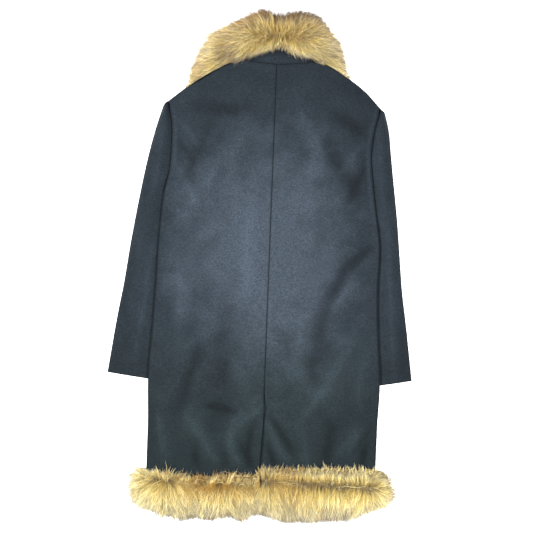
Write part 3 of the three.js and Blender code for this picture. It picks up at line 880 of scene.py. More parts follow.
@dataclass
class Backs:
    """The two backs, joined by the centre-back seam, with the vent open below it."""

    wool: Material
    grid: tuple[int, int] = (76, 160)
    underlap: float = 34.0

    def details(self, x: Array, y: Array) -> Array:
        """Seams, rolled edges and small creases, added to the layer's own height."""
        inside, from_top = from_side(x, y), BACK_TOP(x) - y
        sewn = smoothstep(above_underarm(x, y), -8, 8)
        side_edge = lerp(-rolled_edge(inside), pressed_seam(inside, 1.2, 0.9), sewn)
        at_neck = 1 - smoothstep(np.abs(x), 88, 98)
        top_edge = lerp(-rolled_edge(from_top), pressed_seam(from_top), at_neck)
        creases = fold_height(SMALL_FOLDS, x, y) * self.room_for_creases(x, y)
        return side_edge + top_edge + creases

    def room_for_creases(self, x: Array, y: Array) -> Array:
        """Share of the small creases, fading at the edges where cloth lies on cloth."""
        return smoothstep(from_side(x, y), 2, 22) * smoothstep(y - WOOL_HEM(x), 0, 24)

    def relief(self, x: Array, y: Array) -> Array:
        """The creases, which the finish paints as highlights on the crests and shade in the troughs, with a
        painted highlight beside the armholes.
        """
        large = fold_height(LARGE_FOLDS, x, y) * LAYERS.away_from_seams(x, y)
        # Painted highlight along the ridge beside each armhole.
        ridge = 0.7 * bump(from_side(x, y) - 8, 3.5) * LAYERS.armhole_rise(x, y) / LAYERS.armhole_fullness
        return large / 3.4 + fold_height(SMALL_FOLDS, x, y) * self.room_for_creases(x, y) / 2.6 + ridge

    def lines(self, x: Array, y: Array) -> Array:
        """Painted shade along the side edges, in the neck seam and in the centre seam above the vent."""
        from_neck = BACK_TOP(x) - y + 40 * smoothstep(np.abs(x), 90, 110)
        at_centre = np.abs(x) + 40 * smoothstep(VENT_TOP - y, 0, 6)
        return np.maximum.reduce([
            0.75 * bump(from_side(x, y), 2.2), 0.6 * bump(from_neck, 1.8), 0.95 * bump(at_centre, 1.7),
        ])

    def left_middle(self, x: Array, y: Array) -> Array:
        """Middle of the left back's cloth, whose edge is free below the seam."""
        free = smoothstep(VENT_TOP - y, 0, 12)
        centre = lerp(pressed_seam(-x), -0.8 * rolled_edge(-x, 3.0, 1.4), free)
        return LAYERS.left_back_low(x, y) + CLOTH / 2 + self.details(x, y) + centre

    def right_middle(self, x: Array, y: Array) -> Array:
        """Middle of the right back's cloth, which runs on under the left one at the vent."""
        free = smoothstep(VENT_TOP - y, -4, 8)
        centre = pressed_seam(x) * (1 - free)
        return LAYERS.back_low(x, y) + CLOTH / 2 + self.details(x, y) * (x > -2) + centre

    def build(self) -> None:
        """Builds both backs."""

        def seam(y: Array) -> Array:
            """The left back's centre edge."""
            return -SEAM / 2 - 5.0 * smoothstep(VENT_TOP - y, 20, 160)

        def under(y: Array) -> Array:
            """The right back's centre edge, with the underlap of the vent."""
            return lerp(SEAM / 2, -self.underlap, smoothstep(VENT_TOP - y, 0, 22))

        def vent_line(x: Array, y: Array) -> Array:
            """The shadow that the vent's top edge throws on its underlap."""
            return np.maximum(self.lines(x, y), 0.9 * bump(x - seam(y), 3.0) * (y < VENT_TOP))

        for side, centre, middle, lines in (
            (Side.LEFT, seam, self.left_middle, self.lines),
            (Side.RIGHT, under, self.right_middle, vent_line),
        ):
            places = panel_places(side, centre, BACK_TOP)
            cut_cloth("back", self.wool, self.grid, side, places, middle, lines, self.relief)


@dataclass
class Fronts:
    """The two plain fronts, which lie on the surface, right over left."""

    wool: Material
    grid: tuple[int, int] = (26, 64)
    overlap: float = 35.0
    inset: float = 2.0

    def build(self) -> None:
        """Builds both fronts."""

        def plain(x: Array, y: Array) -> Array:
            """No seams and no creases."""
            return 0 * x

        for side, low in ((Side.LEFT, LAYERS.left_front_low), (Side.RIGHT, LAYERS.front_low)):
            centre_x = -side.value * self.overlap
            places = panel_places(side, lambda y, c=centre_x: c + 0 * y, front_top, self.inset)
            cut_cloth(
                "front", self.wool, self.grid, side, places,
                lambda x, y, f=low: f(x, y) + CLOTH / 2, plain, plain,
            )


@dataclass
class Sleeve:
    """A set-in sleeve, one tube that lies flat beside the body and partly under it."""

    wool: Material
    side: Side
    around: int = 76
    along: int = 110
    shoulder_crown: float = 9.0
    cuff_crown: float = 5.5
    fold_radius: float = 7.0
    hidden_radius: float = 5.0
    cuff_hem: float = 32.0
    joined: float = 0.05  # points closer than this become one

    def section(self, u: Array, v: Array) -> tuple[Array, Array, Array]:
        """Places of the tube's middle, from its hidden fold over the top and back underneath.

        Args:
            u: Share round the tube.
            v: Share from the cuff to the shoulder.

        Returns:
            X, Y and Z.
        """
        side, sign = self.side, self.side.value
        inner, outer, edge = SLEEVE_INNER[side], SLEEVE_OUTER[side], BODY_EDGE[side]
        cuff_y, cuff_outer_y, head_outer_y = inner.rows[-1][0], outer.rows[-1][0], outer.rows[0][0]
        y = lerp(cuff_y, SHOULDER_Y, v)
        outer_y = lerp(cuff_outer_y, head_outer_y, v)
        underarm = UNDERARM_Y[side]
        hidden = Table(((underarm, float(edge(underarm)) + SEAM), *inner.rows))
        sewn = y >= underarm
        start = np.where(sewn, edge(y) + SEAM, hidden(y))
        top = u < 0.5
        share = np.where(top, u, 1 - u) * 2
        out = lerp(start, outer(outer_y), np.sin(share * np.pi / 2))
        border = np.maximum(edge(y) + 1.5, start)
        at = lerp(y, outer_y, np.clip((out - border) / (outer(outer_y) - border), 0, 1))
        return sign * out, at, np.where(top, self.top_middle(out, at, y, start), CLOTH / 2)

    def top_middle(self, out: Array, y: Array, row: Array, start: Array) -> Array:
        """Middle of the cloth on top: crowned, sewn to the body above and rounded at its folds.

        Args:
            out: Distance out from the coat's centre line.
            y: Places along the coat.
            row: Heights at which the rows start at the hidden fold.
            start: How far out the rows start.

        Returns:
            The heights there.
        """
        side, sign = self.side, self.side.value
        edge = BODY_EDGE[side](y)
        outside = SLEEVE_OUTER[side](y)
        across = np.clip((out - edge - 3) / (outside - edge - 3), 0, 1)
        crown = lerp(self.shoulder_crown, self.cuff_crown, smoothstep(-y, 150, 700)) * np.sin(np.pi * across)
        seam = np.maximum(LAYERS.back_low(sign * edge, y) - 1.2 - PLY, 0)
        above = smoothstep(row - UNDERARM_Y[side], 2, 50)
        raised = PLY + crown + seam * (1 - across) ** 2 * above
        raised = raised - 1.1 * bump(out - edge, 3.2) * above
        creases = fold_height(SLEEVE_FOLDS, sign * out, y) * smoothstep(outside - out, 2, 12)
        cuff = -0.4 * bump(y - SLEEVE_INNER[side].rows[-1][0] - self.cuff_hem, 1.8)
        raised = raised + creases * smoothstep(out - edge, -2, 8) + cuff
        from_fold = np.clip(1 - (outside - out) / self.fold_radius, 0, 1)
        closing = np.sqrt(1 - np.minimum(from_fold, 1) ** 2)
        from_start = np.clip(1 - (out - start) / self.hidden_radius, 0, 1)
        from_start = from_start * (1 - smoothstep(row - UNDERARM_Y[side], -4, 0))
        closing = closing * np.sqrt(1 - np.minimum(from_start, 1) ** 2)
        return CLOTH / 2 + raised * closing

    def build(self) -> None:
        """Builds the sleeve as one tube, open at the armhole and the cuff."""
        name = f"sleeve_{self.side.tag}"
        mesh, u, v = grid_shares(name, self.around, self.along, (0.0, 0.3))
        x, y, z = self.section(u if self.side is Side.RIGHT else 1 - u, v)
        move_vertices(mesh, to_frame(x, y, z))
        # Painted shade beside the body's edge, and in the groove of the cuff's hem.
        from_body = np.abs(x) - BODY_EDGE[self.side](y)
        from_cuff = y - SLEEVE_INNER[self.side].rows[-1][0] - self.cuff_hem
        # The sleeve's creases, painted as lighter crests and darker troughs.
        relief = fold_height(SLEEVE_FOLDS, x, y) / 2.4
        mark_wool(mesh, np.maximum(0.6 * bump(from_body, 3.2), 0.3 * bump(from_cuff, 1.5)), relief)
        area = plan_area(mesh)
        shaped(
            mesh, lambda form: bmesh.ops.remove_doubles(form, verts=form.verts, dist=self.joined * MM),
            turn_outward,
        )
        heights = np.array([row[0] for row in SLEEVE_INNER[self.side].rows])
        girth = 2 * float(np.max(SLEEVE_OUTER[self.side](heights) - SLEEVE_INNER[self.side](heights)))
        add_cloth(mesh, self.wool, (girth, float(np.ptp(y))), area, f"{name}_top", f"{name}_under")


@dataclass
class CollarStand:
    """The wool stand over the back neck, which the fur hangs over."""

    wool: Material
    left: float = -94.0
    right: float = 99.0
    tuck: float = 5.0  # how far it runs on under the back
    grid: tuple[int, int] = (48, 14)

    def build(self) -> None:
        """Builds the stand."""
        mesh, u, v = grid_shares("collar_stand_cloth", *self.grid, crowding=(0.3, 0.5))
        x = lerp(self.left, self.right, u)
        low = BACK_TOP(x) - self.tuck
        y = lerp(low, BACK_TOP(x) + STAND_RISE(x), v)
        past_seam = y - BACK_TOP(x)
        z = NECK_LOW + CLOTH / 2 + STAND_SLOPE * v - PLY * (1 - smoothstep(past_seam, -1, 4))
        move_vertices(mesh, to_frame(x, y, z))
        # Painted shadow of the fur over the top of the stand, and painted shade in the neck seam.
        painted_fur_shadow = smoothstep(past_seam - STAND_RISE(x), -24, -4)
        mark_wool(mesh, 0.7 * bump(past_seam, 2.4) + 0.9 * painted_fur_shadow, 0 * x)
        add_cloth(mesh, self.wool, (float(np.ptp(x)), float(np.ptp(y))), plan_area(mesh), "collar_stand")


# The fur.


@dataclass(frozen=True)
class Pile:
    """How the hairs of one piece of fur grow, in millimetres."""

    hairs: int
    locks: int
    length: tuple[float, float] = (8.0, 70.0)
    uneven: float = 0.14  # how the lengths differ from lock to lock
    stepped: float = 0.19  # and from hair to hair in a lock
    width: float = 0.85
    fineness: tuple[float, float] = (0.6, 1.25)  # the finest and the coarsest hair's share of it
    rings: int = 3
    lift: float = 0.40  # rise at the root, for each unit along the flow
    upright_lift: float = 0.9  # and how much more an upright hair rises
    lock_lift: float = 0.25  # how the rise differs from lock to lock
    hair_lift: float = 0.2  # and from hair to hair
    droop: float = 0.16
    gather: float = 0.24  # how far a lock's hairs draw together at their tips
    wander: float = 0.11  # how much a lock strays from the flow
    hair_wander: float = 0.12  # and a hair from its lock
    wave: float = 0.12
    blur: float = 8.0  # how unevenly the hairs part
    guard_reach: float = 9.0  # how much further the guard hairs reach
    guard_width: float = 1.25  # and how much wider they are
    wisps: float = 0.06  # share of long pale hairs
    wisp_reach: float = 11.0
    reached: tuple[float, float] = (0.3, 1.7)  # least and most share of what they reach further
    short: float = 2.0  # how far most hairs stop short of the outline
    above: tuple[float, float] = (0.2, 1.6)  # how far the lowest hairs stay off what they lie on
    gold_varies: float = 0.16  # how the colour differs from lock to lock
    level: float = 50.0  # height above which hairs bend over
    tallest: float = 14.0  # how much higher the highest ones stand
    seed: int = 1


@dataclass
class FurForm:
    """A piece of fur: a rounded ground with hairs that flow over it."""

    name: str
    ground: Material
    pile: Material

    def skin(self, along: Array, angle: Array) -> Array:
        """Places on the ground, from the share along it and the angle round it."""
        raise NotImplementedError

    def flow(self, roots: Array) -> Array:
        """Directions in which the hairs lie."""
        raise NotImplementedError

    def reach(self) -> Array:
        """The closed line in plan that the hairs' tips reach."""
        raise NotImplementedError

    def lengths(self, roots: Array, flow: Array, pile: Pile) -> Array:
        """Lengths of the hairs, from their roots along the flow to the line that they reach."""
        return np.clip(room_along(roots, flow, self.reach()) * 0.98 - pile.short, *pile.length)

    def resting(self, x: Array, y: Array) -> Array:
        """Height of what lies under the hairs, which they don't go through."""
        return np.full_like(x, SURFACE_GAP)

    def density(self, roots: Array) -> Array:
        """How closely the hairs stand."""
        return np.ones(len(roots))

    def evenness(self, roots: Array) -> Array:
        """How evenly coloured the hairs are, below 1 where more of them have dark tips."""
        return np.ones(len(roots))

    def gold(self, roots: Array) -> Array:
        """Share of golden brown in the hairs."""
        return np.full(len(roots), 0.1)

    def upright(self, roots: Array) -> Array:
        """How upright the hairs stand, from 0 where they lie along the ground."""
        return np.zeros(len(roots))

    def roots(self, count: int, angles: tuple[float, float], rng: np.random.Generator) -> tuple[Array, Array]:
        """Spreads roots evenly over the ground.

        Args:
            count: How many.
            angles: Where round the ground they grow, as the first and last angle.
            rng: The random numbers.

        Returns:
            The roots' places and the ground's normals there.
        """
        tries = count * 6
        along = rng.uniform(0.004, 0.996, tries)
        angle = rng.uniform(*angles, tries)
        step = 1e-3
        here = self.skin(along, angle)
        down_line = (self.skin(along + step, angle) - here) / step
        round_line = (self.skin(along, angle + step) - here) / step
        normal = np.cross(down_line, round_line)
        area = np.linalg.norm(normal, axis=1)
        share = area * self.density(here)
        chosen = rng.choice(tries, count, replace=False, p=share / share.sum())
        from_middle = here - (here + self.skin(along, angle + np.pi)) / 2
        facing = np.where((normal * from_middle).sum(1) < 0, -1, 1)
        outward = normal * (facing / np.maximum(area, 1e-9))[:, None]
        return here[chosen], outward[chosen]

    def build_ground(self, rings: int = 96, sides: int = 24) -> None:
        """Builds the ground, which stands for the solid of the same name.

        Args:
            rings: Sections along it.
            sides: Points round it.
        """
        mesh = rounded_form(f"{self.name}_ground", rings, sides, lambda s, a: to_frame(*self.skin(s, a).T))
        add_piece(mesh, "faux_fur", self.ground, self.name)

    def clear(self, lines: Array) -> Array:
        """Moves hairs out of what they would go into."""
        return lines

    def paths(
        self, roots: Array, normals: Array, kind: Array, pile: Pile, rng: np.random.Generator,
    ) -> tuple[Array, Array]:
        """Lines of the hairs, drawn together in locks.

        Args:
            roots: The hairs' roots.
            normals: The ground's normals there.
            kind: A number from 0 to 1 for each hair, low for a guard hair.
            pile: How the hairs grow.
            rng: The random numbers.

        Returns:
            The points along each hair, and the number of its lock.
        """
        guides = rng.choice(len(roots), pile.locks, replace=False)
        lock = nearest(roots, roots[guides])
        shift = rng.normal(0, pile.blur, (pile.locks, 3))[lock]
        shift = shift + rng.normal(0, pile.blur / 3, (len(roots), 3))
        flow = self.flow(roots + shift * np.array([1, 1, 0]))
        sideways = np.stack([-flow[:, 1], flow[:, 0], np.zeros(len(flow))], 1)
        stray = rng.normal(0, pile.wander, pile.locks)[lock] + rng.normal(0, pile.hair_wander, len(roots))
        flow = unit(flow + sideways * stray[:, None])
        uneven = rng.normal(0, pile.uneven, pile.locks)[lock]
        uneven = uneven - np.abs(rng.normal(0, pile.stepped, len(roots)))
        upright = self.upright(roots)
        length = self.lengths(roots, flow, pile) * np.exp(uneven) * (1 - 0.3 * upright)
        further = pile.guard_reach * (kind < GUARD_SHARE) + pile.wisp_reach * (kind > 1 - pile.wisps)
        length = length + further * rng.uniform(*pile.reached, len(roots))
        varied = rng.normal(0, pile.lock_lift, pile.locks)[lock] + rng.normal(0, pile.hair_lift, len(roots))
        lift = (pile.lift + pile.upright_lift * upright) * np.exp(varied)
        on_ground = unit(flow - normals * (flow * normals).sum(1)[:, None])
        first = unit(on_ground + normals * lift[:, None])
        last = unit(flow * np.array([1, 1, 0.0]) + np.array([0, 0, -1.0]) * pile.droop)
        phase = rng.uniform(0, 2 * np.pi, pile.locks)[lock]
        t = np.linspace(0, 1, pile.rings + 1)[None, :, None]
        bent = first[:, None] * (t - t**2 / 2) + last[:, None] * (t**2 / 2)
        swing = pile.wave * t * np.sin(phase[:, None, None] + 3.4 * t)
        lines = roots[:, None] + length[:, None, None] * (bent + sideways[:, None] * swing)
        leader = lines[guides][lock]
        lines = self.clear(lines + (leader - lines) * pile.gather * t**1.4)
        under = self.resting(lines[..., 0], lines[..., 1])
        above = np.maximum(lines[..., 2] - pile.level, 0)
        lines[..., 2] -= above - pile.tallest * (1 - np.exp(-above / pile.tallest))
        lines[..., 2] = np.maximum(lines[..., 2], under + rng.uniform(*pile.above, (len(roots), 1)))
        return lines, lock

    def build_pile(self, tag: str, pile: Pile, angles: tuple[float, float]) -> None:
        """Grows hairs on the ground as one mesh.

        Args:
            tag: A word for the piece's name.
            pile: How the hairs grow.
            angles: Where round the ground they grow.
        """
        rng = np.random.default_rng(pile.seed)
        roots, normals = self.roots(pile.hairs, angles, rng)
        kind = rng.uniform(0, 1, pile.hairs) * self.evenness(roots)
        lines, lock = self.paths(roots, normals, kind, pile, rng)
        gold = self.gold(roots) + rng.normal(0, pile.gold_varies, pile.locks)[lock]
        shade = {"lock": rng.uniform(0, 1, pile.locks)[lock], "hair": kind, "gold": np.clip(gold, 0, 1)}
        widths = pile.width * rng.uniform(*pile.fineness, pile.hairs)
        widths = widths * np.where(kind < GUARD_SHARE, pile.guard_width, 1)
        add_piece(hair_mesh(f"{self.name}_{tag}", lines, widths, shade), "faux_fur", self.pile)


def room_along(roots: Array, flow: Array, line: Array) -> Array:
    """Distances in plan from roots, along their flow, to a closed line round them.

    Args:
        roots: The roots.
        flow: The directions.
        line: The line's points, in order.

    Returns:
        The distance to the nearest crossing, or 0 for a root outside the line.
    """
    start, edge = line, np.roll(line, -1, 0) - line
    gap = start[None] - roots[:, None, :2]
    across = flow[:, None, 0] * edge[None, :, 1] - flow[:, None, 1] * edge[None, :, 0]
    safe = np.where(np.abs(across) < 1e-9, 1e-9, across)
    run = (gap[..., 0] * edge[None, :, 1] - gap[..., 1] * edge[None, :, 0]) / safe
    share = (gap[..., 0] * flow[:, None, 1] - gap[..., 1] * flow[:, None, 0]) / safe
    run = np.where((run > 0) & (share >= 0) & (share <= 1), run, np.inf).min(1)
    return np.where(np.isfinite(run), run, 0)


def unit(vectors: Array) -> Array:
    """Vectors made one unit long."""
    return vectors / np.maximum(np.linalg.norm(vectors, axis=-1, keepdims=True), 1e-9)


def nearest(points: Array, centres: Array) -> Array:
    """For each point, the number of the nearest centre."""
    found = np.zeros(len(points), int)
    block = 2000
    for first in range(0, len(points), block):
        part = points[first : first + block]
        gaps = ((part[:, None] - centres[None]) ** 2).sum(-1)
        found[first : first + block] = gaps.argmin(1)
    return found


def hair_mesh(name: str, lines: Array, widths: Array, shade: dict[str, Array]) -> Mesh:
    """One mesh of many closed, three-sided hairs that taper to a point.

    Args:
        name: The mesh's name.
        lines: For each hair, its points from root to tip.
        widths: The hairs' widths at the root.
        shade: Values for each hair, which become attributes of its vertices.

    Returns:
        The mesh, whose vertices also hold how far along their hair they are.
    """
    count, points = lines.shape[:2]
    rings = points - 1
    tangent = unit(np.gradient(lines, axis=1))
    side = unit(np.cross(tangent, np.array([0.05, 0.03, 1.0])))
    over = np.cross(side, tangent)
    t = np.linspace(0, 1, points)[:rings]
    taper = (0.75 + 0.6 * t - 1.0 * t**2)[None, :, None, None] * widths[:, None, None, None] / 2
    corner = np.array([[0.0, 0.55], [-1.0, -0.35], [1.0, -0.35]])
    ring = side[:, :rings, None] * corner[:, 0, None] + over[:, :rings, None] * corner[:, 1, None]
    body = (lines[:, :rings, None] + ring * taper).reshape(count, rings * 3, 3)
    vertices = np.concatenate([body, lines[:, -1:]], 1).reshape(-1, 3)
    per_hair = rings * 3 + 1
    quads = [
        (3 * k + a, 3 * k + b, 3 * k + 3 + b, 3 * k + 3 + a)
        for k in range(rings - 1)
        for a, b in ((0, 1), (1, 2), (2, 0))
    ]
    last = 3 * (rings - 1)
    tris = [(last + a, last + b, per_hair - 1) for a, b in ((0, 1), (1, 2), (2, 0))] + [(2, 1, 0)]
    first = (np.arange(count) * per_hair)[:, None, None]
    quad_loops = (np.array(quads)[None] + first).reshape(count, -1)
    tri_loops = (np.array(tris)[None] + first).reshape(count, -1)
    loops = np.concatenate([quad_loops, tri_loops], 1).ravel()
    sizes = np.tile(np.array([4] * len(quads) + [3] * len(tris)), count)
    mesh = bpy.data.meshes.new(name)
    mesh.vertices.add(len(vertices))
    mesh.loops.add(len(loops))
    mesh.polygons.add(len(sizes))
    mesh.vertices.foreach_set("co", to_frame(*vertices.T).astype(np.float32).ravel())
    mesh.loops.foreach_set("vertex_index", loops.astype(np.int32))
    mesh.polygons.foreach_set("loop_start", np.concatenate([[0], np.cumsum(sizes)[:-1]]).astype(np.int32))
    shade_smooth(mesh)
    mesh.update(calc_edges=True)
    mesh.validate()
    along = np.tile(np.append(np.repeat(t, 3), 1.0), count)
    mark_vertices(mesh, {"along": along, **{key: np.repeat(value, per_hair) for key, value in shade.items()}})
    return mesh


def smooth_line(points: Sequence[tuple[float, float]], share: Array) -> Array:
    """Places on a smooth line through points, by the share of its length.

    Args:
        points: The points.
        share: Shares of the length.

    Returns:
        X and Y there.
    """
    held = np.array([points[0], *points, points[-1]], float)
    t = np.linspace(0, 1, 24, endpoint=False)[:, None]
    parts = []
    for a, b, c, d in zip(held, held[1:], held[2:], held[3:]):
        cubic = (3 * b - a - 3 * c + d) * t**3 + (2 * a - 5 * b + 4 * c - d) * t**2 + (c - a) * t
        parts.append(b + cubic / 2)
    line = np.vstack([*parts, held[-1:]])
    run = np.concatenate([[0], np.cumsum(np.linalg.norm(np.diff(line, axis=0), axis=1))])
    at = np.clip(share, 0, 1) * run[-1]
    return np.stack([np.interp(at, run, line[:, k]) for k in (0, 1)], -1)


# Lines that the collar's hairs reach: its rim, and the edge over the stand.
COLLAR_RIM = (
    (-200, -54), (-192, -22), (-180, 10), (-164, 42), (-148, 66), (-124, 76), (-100, 92),
    (-78, 106), (-40, 123), (-18, 119), (2, 113), (40, 120), (80, 113), (104, 97), (124, 72),
    (140, 50), (150, 22), (158, -4), (164, -28),
)
COLLAR_TIPS = (
    (162, -34), (155, -28), (130, -12), (104, 5), (75, 12), (50, 15), (25, 24), (8, 34),
    (-20, 22), (-60, 9), (-95, -1), (-130, -15), (-170, -40), (-198, -60),
)


@dataclass
class CollarFur(FurForm):
    """The fur collar that stands out past the neck and the shoulders."""

    ends: tuple[float, float] = (-194.0, 158.0)
    rim_inset: float = 15.0
    neck_gap: float = 1.2
    neck: tuple[float, float] = (60.0, 98.0)  # from where the collar leaves the neck to where it has
    foot_at_neck: float = 28.0
    foot_beside: float = 17.0
    foot_at_rim: float = 11.0
    crown: float = 17.0
    rim_rise: float = 6.0
    grown: tuple[float, float] = (0.0, 1.0)  # the stretch that carries the hairs
    parting: Table = Table((
        (-205, -30), (-150, 22), (-100, 50), (-60, 62), (0, 60), (50, 60), (100, 44), (140, 14),
        (175, -24),
    ))

    def edges(self, along: Array) -> tuple[Array, Array]:
        """The ground's inner edge, beside the wool, and its outer edge."""
        x = lerp(*self.ends, along)
        inner = np.stack([x, BACK_TOP(x) + STAND_RISE(x) + self.neck_gap], -1)
        rim = smooth_line(COLLAR_RIM, along)
        out = unit(rim - inner)
        return inner, rim - out * self.rim_inset

    def skin(self, along: Array, angle: Array) -> Array:
        """Places on the ground, from the share along it and the angle round it, 0 at the rim."""
        along = lerp(*self.grown, np.clip(along, 0, 1))
        inner, rim = self.edges(along)
        across = (1 + np.cos(angle)) / 2
        ends = np.sqrt(np.sin(np.pi * lerp(0.03, 0.97, along)))
        at_neck = 1 - smoothstep(np.abs(inner[..., 0]), *self.neck)
        foot = lerp(lerp(self.foot_beside, self.foot_at_neck, at_neck), self.foot_at_rim, across)
        top = foot + self.crown * ends * np.sin(np.pi * across) ** 0.8
        low = 1 + self.rim_rise * smoothstep(across, 0.6, 1)
        level = np.sin(angle)
        z = lerp((top + low) / 2, np.where(level > 0, top, low), np.abs(level) ** 0.6)
        places = lerp(inner, rim, across[..., None])
        return np.concatenate([places, z[..., None]], -1)

    def flow(self, roots: Array) -> Array:
        """Hairs lie away from the parting and fan out to both ends."""
        x, y = roots[:, 0], roots[:, 1]
        aside = 0.5 * (x - 4) * smoothstep(np.abs(x - 4), -10, 80)
        away = np.stack([aside, y - self.parting(x), 0 * x], -1)
        slope = (BACK_TOP(x + 2) - BACK_TOP(x - 2)) / 4
        inward = unit(np.stack([slope, -np.ones_like(x), 0 * x], -1))
        beside = smoothstep(np.abs(x - 2), 70, 104)
        into_wool = np.maximum((away * inward).sum(1), 0.0) * beside
        away = away - inward * (into_wool + 6 * beside)[:, None]
        return unit(away + np.array([0.0, 1e-3, 0.0]))

    def reach(self) -> Array:
        """The collar's outline, and the line of the tips over the stand."""
        outer = smooth_line(COLLAR_RIM, np.linspace(0, 1, 60))
        inner = smooth_line(COLLAR_TIPS, np.linspace(0, 1, 40))
        return np.vstack([outer, inner])

    def evenness(self, roots: Array) -> Array:
        """Dark tips crowd the line over the stand and the rim."""
        from_parting = roots[:, 1] - self.parting(roots[:, 0])
        at_neck = smoothstep(-from_parting, 4, 24) * (np.abs(roots[:, 0] - 4) < 105)
        return 1 - 0.6 * at_neck - 0.82 * smoothstep(from_parting, 26, 44)

    def gold(self, roots: Array) -> Array:
        """The middle above the parting is golden brown, with some patches elsewhere."""
        x, y = roots[:, 0], roots[:, 1]
        above = smoothstep(y - self.parting(x), -10, 22)
        patches = 0.5 * bump(np.hypot(x + 62, y - 24), 22) + 0.35 * bump(np.hypot(x + 150, y + 4), 24)
        return 0.36 + 0.8 * bump(x + 18, 96) * above + patches

    def upright(self, roots: Array) -> Array:
        """Hairs stand up above the middle of the neck."""
        x, y = roots[:, 0], roots[:, 1]
        return bump(x + 10, 75) * smoothstep(y - self.parting(x), -5, 15)

    def clear(self, lines: Array) -> Array:
        """Keeps hairs beside the shoulders, whose wool edges lie over the fur."""
        beside = smoothstep(np.abs(lines[..., 0] - 2), 96, 108)
        short = np.maximum(BACK_TOP(lines[..., 0]) + 0.8 - lines[..., 1], 0) * beside
        lines[..., 1] += short
        return lines

    def resting(self, x: Array, y: Array) -> Array:
        """The stand and the back under the hairs at the neck."""
        return over_wool(x, y)


def over_wool(x: Array, y: Array) -> Array:
    """Height of the wool's top where there is wool, and of the surface elsewhere."""
    flat_x, flat_y = x.ravel(), y.ravel()
    top = BACK_TOP(flat_x)
    on_body = (flat_y < top) & (flat_y > WOOL_HEM(flat_x)) & (from_side(flat_x, flat_y) > 0)
    on_stand = (flat_y >= top) & (flat_y < top + STAND_RISE(flat_x)) & (np.abs(flat_x) < 110)
    height = np.full_like(flat_x, SURFACE_GAP)
    if on_body.any():
        body_x, body_y = flat_x[on_body], flat_y[on_body]
        low = np.where(body_x < 0, LAYERS.left_back_low(body_x, body_y), LAYERS.back_low(body_x, body_y))
        height[on_body] = low + CLOTH + WOOL_GAP
    rise = np.clip((flat_y - top) / np.maximum(STAND_RISE(flat_x), 1), 0, 1)
    height = np.where(on_stand, NECK_LOW + CLOTH + WOOL_GAP + STAND_SLOPE * rise, height)
    return height.reshape(x.shape)


@dataclass(frozen=True)
class Fan:
    """A place along the hem from which the hairs spread to both sides."""

    x: float
    reach: float
    strength: float


# Lines that the hem band's hairs reach, over the wool and below it.
BAND_TIPS = (
    (-296, -942), (-291, -922), (-279, -906), (-264, -904), (-252, -915), (-237, -900), (-226, -917),
    (-209, -903), (-196, -919), (-180, -911), (-160, -922), (-122, -925), (-100, -916), (-84, -913),
    (-66, -910), (-52, -908), (-36, -919), (-20, -923), (-9, -914), (-3, -902), (4, -893), (24, -898),
    (60, -902), (90, -900), (120, -902), (150, -899), (200, -901), (225, -899), (245, -905), (262, -901),
    (276, -907), (289, -920), (298, -942),
)
BAND_LOW_TIPS = (
    (299, -955), (293, -969), (280, -982), (260, -988), (240, -994), (215, -1003), (190, -1010),
    (160, -1011), (140, -1009), (120, -1018), (90, -1014), (60, -1018), (36, -1015), (18, -1010),
    (2, -1003), (-16, -1007), (-40, -1023), (-62, -1012), (-84, -1014), (-110, -1019), (-140, -1014),
    (-160, -1018), (-180, -1024), (-200, -1015), (-220, -1020), (-240, -1008), (-260, -1005),
    (-280, -991), (-291, -975), (-296, -958),
)


